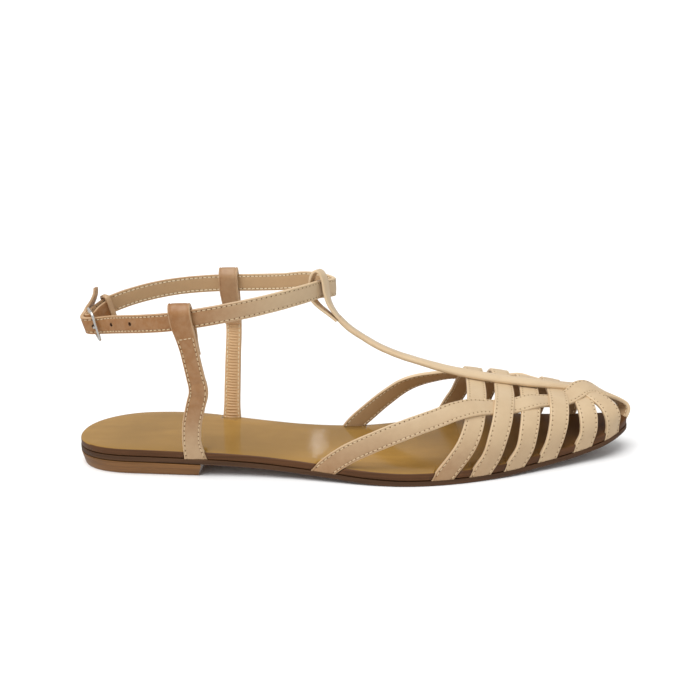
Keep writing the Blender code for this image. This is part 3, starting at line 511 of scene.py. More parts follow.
def arc(centre, start, turn, axis, steps):
    """Points round a centre, from centre + start, through a turn in degrees about an axis."""
    return [centre + Quaternion(axis, math.radians(turn * i / steps)) @ start for i in range(steps + 1)]


def prong_path(steps=12):
    """The prong's wire: its tip, the strap's hole, then the ring round the heel bar."""
    ahead = PRONG_TIP - PRONG_RING
    ahead = (ahead - BAR_UP * ahead.dot(BAR_UP)).normalized()
    start = BAR_UP.cross(ahead) * (FRAME_WIRE + PRONG_WIRE + RING_ROOM)
    return [PRONG_TIP, PRONG_HOLE] + arc(PRONG_RING, start, RING_TURN, BAR_UP, steps)


# the direction across each kind of free strap, from its leans in radians
def cross_side(lean, back):
    return Vector((math.sin(lean), math.cos(lean), math.sin(back)))


def quarter_side(lean, _back):
    return Vector((math.cos(lean), math.sin(lean), 0))


def ankle_side(lean, back):
    return Vector((-math.sin(back), math.sin(lean), math.cos(lean)))


# ---------------------------------------------------------------- sizes and colours that a user may change
def a_length(name, default, description):
    return FloatProperty(name=name, description=description, default=default, unit="LENGTH")


def an_angle(name, default, description):
    return FloatProperty(name=name, description=description, default=default, subtype="ANGLE")


def a_colour(name, default, description):
    return FloatVectorProperty(name=name, description=description, subtype="COLOR", size=3, default=default)


class SandalSizes(bpy.types.PropertyGroup):
    """Sizes of the finish."""

    stitch_pitch: a_length("Stitch pitch", 0.0021, "From one needle hole to the next")
    stitch_inset: a_length("Stitch inset", 0.0011, "From a strap's edge to its stitch row")
    thread_thick: a_length("Thread thickness", 0.00048, "Width of the sewing thread")
    # The needle holes are painted dark, as shade, in the strap leather.
    needle_hole: a_length("Needle hole", 0.0003, "Radius of the dark needle holes")
    strap_step: a_length("Strap step", 0.00055, "Length of one mesh step along a strap")
    rib_pitch: a_length("Rib pitch", 0.00135, "From rib to rib of the gathered elastic")
    rib_depth: a_length("Rib depth", 0.0005, "How far the ribs stand out")
    sole_stations: IntProperty(
        name="Sole stations", description="Sections along each sole piece", default=170, min=40
    )


class SandalColours(bpy.types.PropertyGroup):
    """Colours of the finish."""

    strap: a_colour("Straps", (0.58, 0.435, 0.27), "Nude strap leather")
    # Painted shade: the strap colour darkened and warmed on the quarter and ankle straps, as if in shade and lit by
    # warm reflected light.
    strap_heel_shade: a_colour("Straps, heel side", (0.30, 0.130, 0.039), "Warmer nude of the quarter and ankle straps")
    lining: a_colour("Lining", (0.50, 0.32, 0.165), "Inside of the straps")
    thread: a_colour("Thread", (0.64, 0.49, 0.30), "Sewing thread of the outer faces")
    under_thread: a_colour("Under thread", (0.84, 0.72, 0.50), "Cream thread seen on the linings")
    footbed: a_colour("Footbed", (0.345, 0.192, 0.048), "Glossy tan footbed leather")
    edge: a_colour("Insole edge", (0.092, 0.036, 0.011), "Dark brown edge of the insole")
    outsole: a_colour("Outsole", (0.075, 0.034, 0.014), "Edge of the outsole")
    heel: a_colour("Heel", (0.205, 0.095, 0.031), "Stacked heel leather")
    metal: a_colour("Buckle", (0.86, 0.84, 0.80), "Pale polished metal")


class SandalStage(bpy.types.PropertyGroup):
    """Camera and light."""

    focal: FloatProperty(
        name="Focal length", description="Lens on a 36 mm sensor, in millimetres", default=47.44
    )
    height: a_length("Camera height", 0.1462, "Camera above the floor")
    away: a_length("Camera distance", 0.39325, "Camera from the shoe's middle, outwards")
    along: a_length("Camera along", 0.00505, "Camera towards the toe, from the middle")
    pitch: an_angle("Pitch", 0.242, "How far the camera looks down")
    yaw: an_angle("Yaw", -0.0164, "How far the camera turns towards the toe")
    roll: an_angle("Roll", -0.0242, "How far the camera leans")
    floor: a_colour("Floor", (0.93, 0.93, 0.93), "Plain pale floor")


COAT_ROUGHNESS = 0.25
PORES, GRAIN = 1050, 1500  # scales of the leather's pores and of its finer grain


# ---------------------------------------------------------------- materials
class Finish:
    """A Principled material on Object coordinates, with short ways to add the nodes of its pattern."""

    def __init__(self, name, roughness, specular=0.5, coat=0.0, metallic=0.0):
        self.material = bpy.data.materials.new(name)
        self.material.use_nodes = True
        self.tree = self.material.node_tree
        self.shader = self.tree.nodes["Principled BSDF"]
        settings = {"Roughness": roughness, "Specular IOR Level": specular, "Coat Weight": coat,
                    "Coat Roughness": COAT_ROUGHNESS, "Metallic": metallic}
        for socket, number in settings.items():
            self.shader.inputs[socket].default_value = number
        self.place = self.node("ShaderNodeTexCoord").outputs["Object"]

    def node(self, kind, **settings):
        made = self.tree.nodes.new(kind)
        for name, value in settings.items():
            setattr(made, name, value)
        return made

    def feed(self, value, socket):
        self.tree.links.new(value, self.shader.inputs[socket])

    def attribute(self, name):
        return self.node("ShaderNodeAttribute", attribute_name=name).outputs["Fac"]

    def axis(self, letter):
        split = self.node("ShaderNodeSeparateXYZ")
        self.tree.links.new(self.place, split.inputs["Vector"])
        return split.outputs[letter]

    def noise(self, scale, detail=3.0, roughness=0.5, stretch=None):
        coordinates = self.place
        if stretch:
            mapping = self.node("ShaderNodeMapping")
            mapping.inputs["Scale"].default_value = stretch
            self.tree.links.new(coordinates, mapping.inputs["Vector"])
            coordinates = mapping.outputs["Vector"]
        made = self.node("ShaderNodeTexNoise")
        for socket, number in (("Scale", scale), ("Detail", detail), ("Roughness", roughness)):
            made.inputs[socket].default_value = number
        self.tree.links.new(coordinates, made.inputs["Vector"])
        return made.outputs["Fac"]

    def cells(self, scale):
        """Distance from the borders of small cells, as in leather's pores."""
        made = self.node("ShaderNodeTexVoronoi", feature="DISTANCE_TO_EDGE")
        made.inputs["Scale"].default_value = scale
        self.tree.links.new(self.place, made.inputs["Vector"])
        return made.outputs["Distance"]

    def calculate(self, operation, first, second=None):
        made = self.node("ShaderNodeMath", operation=operation)
        for socket, value in zip(made.inputs, (first, second)):
            if isinstance(value, (int, float)):
                socket.default_value = value
            elif value is not None:
                self.tree.links.new(value, socket)
        return made.outputs["Value"]

    def times(self, first, second):
        return self.calculate("MULTIPLY", first, second)

    def fade(self, value, low, high, start=0.0, end=1.0):
        """A smooth step from start to end while value goes from low to high."""
        made = self.node("ShaderNodeMapRange", interpolation_type="SMOOTHSTEP")
        for name, number in (("From Min", low), ("From Max", high), ("To Min", start), ("To Max", end)):
            made.inputs[name].default_value = number
        self.tree.links.new(value, made.inputs["Value"])
        return made.outputs["Result"]

    def blend(self, share, first, second):
        """From the first colour to the second by share. Each is a colour or a socket."""
        made = self.node("ShaderNodeMix", data_type="RGBA")
        self.tree.links.new(share, made.inputs["Factor"])
        for name, value in (("A", first), ("B", second)):
            socket = next(s for s in made.inputs if s.name == name and s.type == "RGBA")
            if isinstance(value, tuple):
                socket.default_value = (*value, 1)
            else:
                self.tree.links.new(value, socket)
        return next(s for s in made.outputs if s.type == "RGBA")

    def bump(self, height, depth):
        made = self.node("ShaderNodeBump")
        made.inputs["Distance"].default_value = depth
        self.tree.links.new(height, made.inputs["Height"])
        self.feed(made.outputs["Normal"], "Normal")


def scaled(colour, factor):
    return tuple(min(1.0, part * factor) for part in colour)


def leather_material(name, colour, painted_heel_shade, sizes, roughness=0.42, stitched=True, coat=0.05):
    """Smooth grained leather, with painted shade: darker and warmer towards the heel and where it nears the sole.

    Its needle holes, painted dark as shade, and its edges, painted lighter as a highlight, follow the strap's
    attributes.
    """
    finish = Finish(name, roughness, 0.4, coat)
    fade, noise, blend, times = finish.fade, finish.noise, finish.blend, finish.times
    ahead, level, edge = finish.axis("X"), finish.axis("Z"), finish.attribute("from_edge")
    # Painted shade: towards the heel the straps take the darker, warmer heel-side colour, as if in shade and warm
    # reflected light; low on the heel-side straps it eases back towards the plain colour.
    tint = blend(fade(ahead, -0.075, -0.02), tuple(painted_heel_shade), tuple(colour))
    near_heel = fade(ahead, -0.06, -0.02, 1.0, 0.0)
    tint = blend(times(fade(level, 0.012, 0.036, 0.55, 0.0), near_heel), tint, tuple(colour))
    # Painted shade: the straps darken towards the sole, more behind the ball than at the toe, and not on the heel
    # side.
    low = times(fade(level, 0.003, 0.034, 0.8, 0.0), fade(ahead, 0.02, 0.075, 1.0, 0.25))
    low = times(low, fade(ahead, -0.06, -0.02))
    tint = blend(low, tint, scaled(painted_heel_shade, 0.95))
    patches = fade(noise(38, 4, 0.6), 0.38, 0.66, 0.0, 0.16)
    tint = blend(patches, tint, scaled(painted_heel_shade, 0.8))
    mottle = fade(noise(320, 4, 0.6), 0.3, 0.7, 0.0, 0.12)
    tint = blend(mottle, tint, scaled(colour, 1.18))
    # Painted highlight: the strap's edges are painted lighter, where its folded edges catch the light.
    painted_edge_highlight = fade(edge, 0.0001, 0.0007, 0.4, 0.0)
    tint = blend(painted_edge_highlight, tint, scaled(colour, 1.35))
    pores = fade(finish.cells(PORES), 0.0, 0.16)
    height = finish.calculate("ADD", times(noise(GRAIN, 3, 0.6), 0.35), times(pores, 0.35))
    height = finish.calculate("ADD", height, times(noise(170, 2, 0.5), 1.2))
    if stitched:
        turns = finish.calculate("DIVIDE", finish.attribute("along"), sizes.stitch_pitch)
        off = finish.calculate("SUBTRACT", finish.calculate("FRACT", turns), 0.5)
        off = times(off, sizes.stitch_pitch)
        across = finish.calculate("SUBTRACT", edge, sizes.stitch_inset)
        reach = finish.calculate("SQRT", finish.calculate("ADD", times(off, off), times(across, across)))
        # Painted shade: the needle holes are painted dark, as the shade inside them, besides their dent in the
        # bump.
        hole = fade(reach, sizes.needle_hole * 0.45, sizes.needle_hole * 1.25, 1.0, 0.0)
        tint = blend(hole, tint, scaled(painted_heel_shade, 0.55))
        height = finish.calculate("SUBTRACT", height, times(hole, 3.0))
    finish.feed(tint, "Base Color")
    finish.bump(height, 0.00006)


def thread_material(name, colour):
    """Twisted sewing thread."""
    finish = Finish(name, 0.55, 0.4)
    finish.feed(finish.blend(finish.noise(700, 2), scaled(colour, 0.82), scaled(colour, 1.1)), "Base Color")
    finish.bump(finish.noise(4200, 1), 0.00004)


def footbed_material(name, colour, toe_shade_and_wear):
    """Glossy tan leather, duller under the toes, and darker there with painted shade of the straps above and some
    wear.
    """
    finish = Finish(name, 0.1, 0.1)
    fade, noise, blend, ahead = finish.fade, finish.noise, finish.blend, finish.axis("X")
    tint = blend(fade(noise(16, 4, 0.55), 0.35, 0.68), scaled(colour, 0.84), scaled(colour, 1.12))
    streak = fade(noise(90, 3, 0.6, (0.25, 1, 1)), 0.42, 0.7, 0.0, 0.45)
    tint = blend(streak, tint, scaled(colour, 0.78))
    # Painted shade: the footbed darkens towards the toe, under the woven straps, together with some wear.
    finish.feed(blend(fade(ahead, 0.01, 0.115, 0.0, 0.95), tint, toe_shade_and_wear), "Base Color")
    finish.feed(fade(ahead, 0.02, 0.09, 0.1, 0.6), "Roughness")
    height = finish.calculate("ADD", noise(45, 3, 0.5), finish.times(noise(1300, 2, 0.5), 0.06))
    finish.bump(height, 0.00016)


def edge_material(name, colour, roughness, layers=0.0):
    """Burnished cut edge of leather, with the fine level lines of its layers, that many metres apart."""
    finish = Finish(name, roughness, 0.25, 0.04)
    height = fibres = finish.noise(260, 4, 0.65, (0.08, 0.08, 3.0))
    tint = finish.blend(finish.fade(fibres, 0.3, 0.7), scaled(colour, 0.72), scaled(colour, 1.25))
    if layers:
        wave = finish.calculate("FRACT", finish.calculate("DIVIDE", finish.axis("Z"), layers))
        line = finish.calculate("ABSOLUTE", finish.calculate("SUBTRACT", wave, 0.5))
        line = finish.fade(line, 0.43, 0.5)
        tint = finish.blend(finish.times(line, 0.5), tint, scaled(colour, 0.45))
        height = finish.calculate("SUBTRACT", height, line)
    finish.feed(tint, "Base Color")
    finish.bump(height, 0.00007)


def metal_material(name, colour):
    """Pale polished metal with a little wear."""
    finish = Finish(name, 0.18, 0.5, 0.0, 1.0)
    wear = finish.noise(900, 3, 0.6)
    finish.feed(finish.blend(wear, scaled(colour, 0.88), scaled(colour, 1.05)), "Base Color")
    finish.feed(finish.fade(wear, 0.3, 0.7, 0.12, 0.3), "Roughness")


def floor_material(name, colour):
    """Plain pale paper."""
    finish = Finish(name, 0.75, 0.2)
    finish.feed(finish.blend(finish.noise(6, 2), scaled(colour, 0.99), tuple(colour)), "Base Color")
    return finish.material


def finishes():
    """Every material by name, made once."""
    if "strap leather" not in bpy.data.materials:
        colours, sizes = bpy.context.scene.sandal_colours, bpy.context.scene.sandal_sizes
        # The heel-side colour is painted shade, used by every leather.
        strap, heel_shade_tone, lining = colours.strap, colours.strap_heel_shade, colours.lining
        leather_material("strap leather", strap, heel_shade_tone, sizes)
        leather_material("plain leather", strap, heel_shade_tone, sizes, stitched=False)
        # The T-strap's leather is the strap colour made a tenth lighter: a painted highlight on the strap that lies
        # on top.
        leather_material("rolled leather", scaled(strap, 1.1), heel_shade_tone, sizes, 0.26, False, 0.45)
        leather_material("lining leather", lining, scaled(lining, 0.95), sizes, 0.55, coat=0.0)
        leather_material("gathered lining", scaled(lining, 1.4), scaled(lining, 1.25), sizes, 0.5, False, 0.0)
        thread_material("thread", colours.thread)
        thread_material("under thread", colours.under_thread)
        # The footbed's toe colour, the insole edge darkened, is painted shade under the straps, with some wear.
        footbed_material("footbed leather", colours.footbed, scaled(colours.edge, 0.9))
        edge_material("insole edge", colours.edge, 0.45)
        edge_material("outsole leather", colours.outsole, 0.5)
        edge_material("heel stack", colours.heel, 0.42, HEEL_LAYER * MM)
        metal_material("buckle metal", colours.metal)
    return bpy.data.materials


# ---------------------------------------------------------------- modelling
def deselect():
    for obj in bpy.context.selected_objects:
        obj.select_set(False)


def choose(piece):
    deselect()
    piece.select_set(True)
    bpy.context.view_layer.objects.active = piece


def clean(merge=0.0, fill=False, smooth=None):
    """Merges the active mesh's doubles, closes its ends, turns its faces out and smooths it, up to an angle."""
    bpy.ops.object.mode_set(mode="EDIT")
    bpy.ops.mesh.select_all(action="SELECT")
    if merge:
        bpy.ops.mesh.remove_doubles(threshold=merge)
    if fill:
        bpy.ops.mesh.fill_holes(sides=0)
        bpy.ops.mesh.select_all(action="SELECT")
    bpy.ops.mesh.normals_make_consistent(inside=False)
    bpy.ops.object.mode_set(mode="OBJECT")
    if smooth:
        bpy.ops.object.shade_smooth_by_angle(angle=math.radians(smooth))
    else:
        bpy.ops.object.shade_smooth()


def coat(piece, materials):
    for material in materials:
        piece.data.materials.append(finishes()[material])


def in_scene(places):
    """Places in the table's millimetres, as an array in the scene's metres."""
    return (places - np.array(CENTRE)) * MM


def points_of(rows):
    """Rows of points as one array."""
    return np.array([[tuple(point) for point in row] for row in rows], float)


def lay_grid(name, rows, materials=(), attributes=None, slots=None):
    """A grid primitive laid out over rows of points, in mm, each row closing round a solid piece.

    attributes holds one number per point by name, and slots one material slot per strip along the piece.
    """

    def closed(values):
        return np.concatenate([values, values[:, :1]], axis=1)

    def flat(values):
        return values.reshape(-1).astype(np.float32)

    places = closed(points_of(rows))
    count, wide = places.shape[:2]
    deselect()
    bpy.ops.mesh.primitive_grid_add(x_subdivisions=wide - 1, y_subdivisions=count - 1, size=1)
    piece = bpy.context.object
    piece.name = piece.data.name = name
    coat(piece, materials)
    piece.data.vertices.foreach_set("co", flat(in_scene(places)))
    for key, values in (attributes or {}).items():
        piece.data.attributes.new(key, "FLOAT", "POINT").data.foreach_set("value", flat(closed(values)))
    if slots is not None:
        piece.data.polygons.foreach_set("material_index", np.tile(np.asarray(slots, np.int32), count - 1))
    clean(merge=0.000002, fill=True, smooth=38)
    return piece


def cut_away(piece, cutter):
    """Takes the cutter out of the piece and deletes it. A cutter with a material gives it to the cut's walls."""
    choose(piece)
    cut = piece.modifiers.new("cut", "BOOLEAN")
    cut.operation = "DIFFERENCE"
    cut.solver = "EXACT"
    cut.material_mode = "TRANSFER" if cutter.data.materials else "INDEX"
    cut.object = cutter
    bpy.ops.object.modifier_apply(modifier=cut.name)
    bpy.data.objects.remove(cutter, do_unlink=True)


def give(piece, node):
    """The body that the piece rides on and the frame's node that it stands for."""
    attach(piece, BODY)
    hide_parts(node)


def ripple(along, seed):
    """Slow, uneven waves between -1 and 1, for hand-cut edges and soft leather."""
    waves = ((1, 0.11, 1), (0.6, 0.27, 2.3), (0.4, 0.61, 5.1))
    return sum(share * np.sin(along * pace + seed * start) for share, pace, start in waves) / 2


class StrapFace:
    """A strap's outer face: rows of three points across it, and places on it or under it."""

    def __init__(self, rows, outwards=1, seed=0.0):
        self.rows = points_of(rows)
        steps = np.linalg.norm(np.diff(self.rows[:, 1], axis=0), axis=1)
        self.knots = np.concatenate([[0.0], np.cumsum(steps)])
        self.length = self.knots[-1]
        self.ahead = np.gradient(self.rows[:, 1], self.knots, axis=0)
        self.half = np.linalg.norm(self.rows[:, 2] - self.rows[:, 0], axis=1) / 2
        self.outwards, self.seed = outwards, seed

    def places(self, shares, insets, heights):
        """Points at shares of the half width, less insets, and heights over the face. Each is rows by columns."""
        left, middle, right = (self.rows[:, k][:, None] for k in range(3))
        straight, bow = (right - left) / 2, (right + left) / 2 - middle
        across = (shares - np.sign(shares) * insets / self.half[:, None])[..., None]
        points = middle + straight * across + bow * across**2
        normals = np.cross(straight + 2 * bow * across, self.ahead[:, None]) * self.outwards
        normals /= np.linalg.norm(normals, axis=2, keepdims=True)
        return points + normals * heights[..., None], normals

    def line(self, share, inset, height):
        """Points and outward directions along the strap."""
        settings = (np.full((len(self.rows), 1), value) for value in (share, inset, height))
        points, normals = self.places(*settings)
        return points[:, 0], normals[:, 0]

    def at(self, length, line):
        """Where a line is, that far along the strap."""
        return np.array([np.interp(length, self.knots, line[:, axis]) for axis in range(3)])


Column = namedtuple("Column", "share inset height slot", defaults=(0,))
RIM = ((0.0, -0.6), (0.05, -0.33), (0.2, -0.11), (0.48, 0.03))  # inset and height round a strap's outer edge
STITCH_GROOVE = ((0.75, 0.0), (0.95, -0.11), (1.1, -0.15), (1.25, -0.11), (1.5, -0.01))
ROLLED_TURNS = (0, 18, 36, 54, 72)  # degrees round a rolled edge


def mirrored(columns):
    return [column._replace(share=-column.share) for column in columns]


def strap_section(thick, stitched=True):
    """A strap's cross-section, from its left edge over the outer face to the right and back along the lining."""
    rim = [Column(1, *corner) for corner in RIM + (STITCH_GROOVE if stitched else ())]
    rim += [Column(1, 2.0, 0.02), Column(0.3, 0, 0.05)]
    lining = [Column(1, 0.04, 0.42 - thick), Column(1, 0.16, 0.14 - thick), Column(1, 0.45, -thick, 1)]
    if stitched:
        lining += [Column(1, 0.8, -thick, 1), Column(1, 1.1, 0.1 - thick, 1), Column(1, 1.4, -thick, 1)]
    lining += [Column(0.3, 0, -thick, 1)]
    return mirrored(rim) + [Column(0, 0, 0.06)] + rim[::-1] + lining + mirrored(lining[::-1])


def rolled_section(thick):
    """The cross-section of a strap rolled from one piece: full edges, a pillowed face and a flatter back."""
    half = thick / 2
    edge = [(half * (1 - math.cos(turn)), half * math.sin(turn)) for turn in map(math.radians, ROLLED_TURNS)]
    rim = [Column(1, inset, rise - half) for inset, rise in edge]
    rim += [Column(0.55, 0, 0.02), Column(0.28, 0, 0.1)]
    back = [Column(1, inset, -rise - half) for inset, rise in edge[1:]] + [Column(0.4, 0, -thick, 1)]
    return mirrored(rim) + [Column(0, 0, 0.13)] + rim[::-1] + back + mirrored(back[::-1])


Crease = namedtuple("Crease", "along depth wide")
LATERAL_CREASES = (Crease(31.5, 0.2, 1.1), Crease(34.5, -0.16, 1.3), Crease(37.6, 0.22, 0.9))


def lay_strap(name, face, section, materials, creases=(), wave=0.05, ribs=None, sewn=math.inf, pared=None):
    """A strap's mesh: its section carried along its face, with waves, creases and, on its lining, ribs.

    Needle holes follow the attribute along, which stops where the strap is no longer sewn. A pared end is (length,
    share of the thickness that it loses).
    """
    shares, insets, heights, _ = (np.tile(row, (len(face.rows), 1)).astype(float) for row in zip(*section))
    along = face.knots[:, None]
    insets = insets + np.abs(shares) ** 8 * wave * (1 + ripple(along + 40 * (shares > 0), face.seed))
    heights = heights + wave * 0.8 * ripple(along * 1.7 + 9 * shares, face.seed + 3)
    for crease in creases:
        heights -= crease.depth * np.exp(-(((along - crease.along) / crease.wide) ** 2))
    slots = [column.slot for column in section]
    if ribs:
        heights = heights + ribs(along, shares, np.array(slots))
    if pared:
        reach, share = pared
        heights = heights * (1 - share * np.clip(1 - (face.length - along) / reach, 0, 1) ** 0.5)
    points, _ = face.places(shares, insets, heights)
    inner = face.half[:, None] * (1 - np.abs(shares)) + insets
    sewn_along = np.broadcast_to(np.where(along < sewn, along, 0), inner.shape)
    return lay_grid(name, points, materials, {"along": sewn_along * MM, "from_edge": inner * MM}, slots)


def gathers(sizes, seed=1.7):
    """The uneven cross ribs of gathered elastic, on the lining between the stitch rows."""

    def heights(along, shares, slots):
        pitch = sizes.rib_pitch / MM
        phase = 2 * math.pi * along / pitch + 1.3 * ripple(along * 2.1 + shares * 6, seed) + shares * 0.7
        inside = np.clip((0.72 - np.abs(shares)) / 0.2, 0, 1) * (slots == 1)
        depth = np.sin(phase) * 0.5 - 0.5 + 0.35 * ripple(along * 3 + shares * 14, seed + 2)
        return depth * (sizes.rib_depth / MM) * inside

    return heights


# ---------------------------------------------------------------- stitches
STITCH_DEPTH = -0.12  # middle of the outer thread, from the strap's face
UNDER_SINK, FREE_UNDER_SINK = 0.1, 0.08  # how deep in the lining the under thread lies, on the vamp and off it
SHORTEST_STITCH = 0.4
CROSS_ROW = 0.6  # how far past its seam the row across a strap lies
CROSS_STITCHES, CROSS_REACH = 3, 0.66  # their number, and how far out they go, as a share of the half width


def stitch_between(start, end, out):
    """A stitch: its place, direction, outward direction and length, in mm."""
    size = np.linalg.norm(end - start)
    return (start + end) / 2, (end - start) / size, out / np.linalg.norm(out), size


def stitch_row(face, sizes, share, height, reach, side):
    """The stitches of a row along the strap, between two shares of its length."""
    pitch = sizes.stitch_pitch / MM
    points, normals = face.line(share, sizes.stitch_inset / MM, height)
    first, last = (face.length * part / pitch for part in reach)
    row = []
    for k in range(math.ceil(first), int(last) + 1):
        start, end = face.at(pitch * (k - 0.5), points), face.at(pitch * (k + 0.5), points)
        row.append(stitch_between(start, end, face.at(pitch * k, normals) * side))
    return [stitch for stitch in row if stitch[3] > SHORTEST_STITCH]


def cross_row(face, along):
    """The stitches of a row across the strap, where its loop is sewn down."""
    ends, outs = [], []
    for share in np.linspace(-CROSS_REACH, CROSS_REACH, CROSS_STITCHES + 1):
        points, normals = face.line(share, 0, 0.0)
        ends.append(face.at(along, points))
        outs.append(face.at(along, normals))
    return [stitch_between(*stitch) for stitch in zip(ends, ends[1:], outs)]


def sew(name, stitches, sizes, node, material):
    """One thread stitch, modelled once, copied to every place of the rows and joined."""
    deselect()
    bpy.ops.mesh.primitive_uv_sphere_add(segments=8, ring_count=6, radius=0.5)
    piece = bpy.context.object
    shape = np.array([vertex.co for vertex in piece.data.vertices])[:, [2, 0, 1]]
    shape[:, 0] = np.sign(shape[:, 0]) * np.abs(2 * shape[:, 0]) ** 0.8 / 2
    faces = [list(polygon.vertices) for polygon in piece.data.polygons]
    thick = sizes.thread_thick / MM
    places, polygons = [], []
    for k, (place, ahead, out, size) in enumerate(stitches):
        side = np.cross(out, ahead)
        slant = ahead + side * 0.10 * math.sin(k * 1.7)
        turn = np.stack([slant * size * 0.80, side * thick, out * thick * 0.8])
        polygons += [[corner + len(places) * len(shape) for corner in polygon] for polygon in faces]
        places.append(place + shape @ turn)
    mesh = bpy.data.meshes.new(name)
    mesh.from_pydata(in_scene(np.concatenate(places)).tolist(), [], polygons)
    piece.data = mesh
    piece.name = name
    coat(piece, [material])
    choose(piece)
    clean()
    give(piece, node)


def sew_both(pattern, face, sizes, node, under, reach=(0.0, 1.0), seam=None):
    """The stitch rows along both edges of a strap, on its outer face and, at the height under, on its lining.

    seam is how far along a loop is sewn down, with a row across the outer face. What would run into the sole is
    left out.
    """
    for word, side, height in (("stitches", 1, STITCH_DEPTH), ("under_stitches", -1, under)):
        stitches = [stitch for share in (-1, 1) for stitch in stitch_row(face, sizes, share, height, reach, side)]
        if seam and side > 0:
            stitches += cross_row(face, seam + CROSS_ROW)
        above = [stitch for stitch in stitches if stitch[0][2] > outsole_top(on_sole(stitch[0][0])) + 1.0]
        sew(pattern.format(word), above, sizes, node, "thread" if side > 0 else "under thread")


# ---------------------------------------------------------------- the straps' faces
AHEAD_REACH = 3.0  # how far before and after a row its direction is taken
TIP_SMOOTH, TIP_ROUNDS = 34, 40  # length of the outer diagonal's end that is evened out, and how often
TIP_BOW, TIP_TUCK = (0.8, 7.5, 4.0), (-2.0, 0.0, 3.2)  # how far out, how far from the tip and how wide


def cage_face(turns, sizes, seed):
    """The face of a strap on the last, riding over those it crosses. Over the toe it bows out and tucks in."""
    step = sizes.strap_step / MM
    rows = rows_along(cage_samples(turns, step), round(AHEAD_REACH / step))
    if not isinstance(turns[-1], Nose):
        return StrapFace(soften(rows), -1, seed)
    rows = soften(soften(rows), TIP_ROUNDS, len(rows) - round(TIP_SMOOTH / step))
    left = np.arange(len(rows))[::-1] * step
    for out, where, wide in (TIP_BOW, TIP_TUCK):
        rows[:, :, 0] += (out * np.exp(-(((left - where) / wide) ** 2)))[:, None]
    return StrapFace(rows, -1, seed)


def soften(rows, rounds=3, first=1):
    """Evens out kinks between neighbouring rows, from the row first on."""
    places = points_of(rows)
    for _ in range(rounds):
        places[first:-1] = (places[first - 1:-2] + 2 * places[first:-1] + places[first + 1:]) / 4
    return places


def free_face(bends, side_of, sizes, thick, outwards=1, step=None, seed=0.0):
    """The outer face of a strap in free air, half its thickness out from its middle line."""
    places = [Vector(bend[:3]) for bend in bends]
    knots = path_lengths(places)
    place = spline(knots, places)
    lean, wide, back = (spline(knots, [getattr(bend, key) for bend in bends]) for key in ("lean", "wide", "back"))
    count = round(knots[-1] / (step or sizes.strap_step / MM))
    rows = []
    for k in range(count + 1):
        t = knots[-1] * k / count
        ahead = (place(t + 0.4) - place(t - 0.4)).normalized()
        side = side_of(math.radians(lean(t)), math.radians(back(t)))
        side = (side - ahead * side.dot(ahead)).normalized()
        out = side.cross(ahead) * outwards * (thick / 2)
        rows.append([place(t) + out + side * (wide(t) * share) for share in (-0.5, 0, 0.5)])
    return StrapFace(soften(rows), outwards, seed)


# ---------------------------------------------------------------- sole pieces
SOFT_RIM = [(0.0, 0.75), (0.05, 0.42), (0.17, 0.18), (0.38, 0.04), (0.7, 0.0)]
SHARP_RIM = [(0.0, 0.35), (0.1, 0.1), (0.35, 0.0)]
LOWER_RIM = 0.35  # bevel of a plate's lower edge
TRIM_MARGIN = 9  # how far the cutter of the straps' ends passes the sole


def sole_plate(name, materials, start, end, margin, top, bottom, rim, stations, taper=0.0, rake=0.0):
    """A plate with the sole's outline. rim rounds its upper edge: (inset, drop) pairs from the side to the top."""

    def between(place, steps):
        """Points across the plate at a place of its section, without the two ends."""
        x, lateral, medial, level = place
        return [Vector((x, lateral + (medial - lateral) * k / steps, level)) for k in range(1, steps)]

    rows = []
    for k in range(stations + 1):
        share = (1 - math.cos(math.pi * k / stations)) / 2
        side = []
        for inset, rise in ((taper + LOWER_RIM, 0.0), (taper, LOWER_RIM)):
            x = start + inset * 0.3 + (end - start - inset * 0.6) * share
            lateral, medial = edges(min(x, LENGTH + margin), margin)
            thin = inset * min(1, (medial - lateral) / 10)
            back = rake * (share**8 - (1 - share) ** 8)
            side.append((x - back, lateral + thin, medial - thin, bottom(x) + rise))
        for inset, drop in rim:
            x = start + inset + (end - start - 2 * inset) * share
            lateral, medial = edges(min(x, LENGTH + margin), margin - inset)
            side.append((x, lateral, medial, top(x) - drop))
        rows.append(
            [Vector((x, lateral, level)) for x, lateral, _, level in side]
            + between(side[-1], 8)
            + [Vector((x, medial, level)) for x, _, medial, level in reversed(side)]
            + between(side[0], 6)[::-1]
        )
    return lay_grid(name, rows, materials)


def trim_below(piece):
    """Cuts a strap's end off level with the outsole's top."""
    reach = (-TRIM_MARGIN, LENGTH + TRIM_MARGIN, TRIM_MARGIN)
    cutter = sole_plate("trim", (), *reach, lambda x: outsole_top(x) + 0.05, lambda x: -30.0, [(0.0, 0.0)], 40)
    cut_away(piece, cutter)


def notch_cutter(name, rows, inside, spare):
    """What a strap's end takes out of the insole: its rows there, carried out past the edge."""
    middle = rows[len(rows) // 2]
    away = (middle[-1] - middle[0]).cross(UP).normalized()
    core_x = min(middle[0].x, NOSE)
    if away.dot(middle[0] - Vector((core_x, centre_of(core_x), 0))) < 0:
        away = -away
    rings = []
    for row in rows:
        wider = (row[-1] - row[0]).normalized() * spare
        line = [row[0] - wider, *row[1:-1], row[-1] + wider]
        near = [point - away * (inside + spare) for point in line]
        rings.append(near + [point + away * NOTCH_OVERRUN for point in reversed(line)])
    return lay_grid(name, rings)


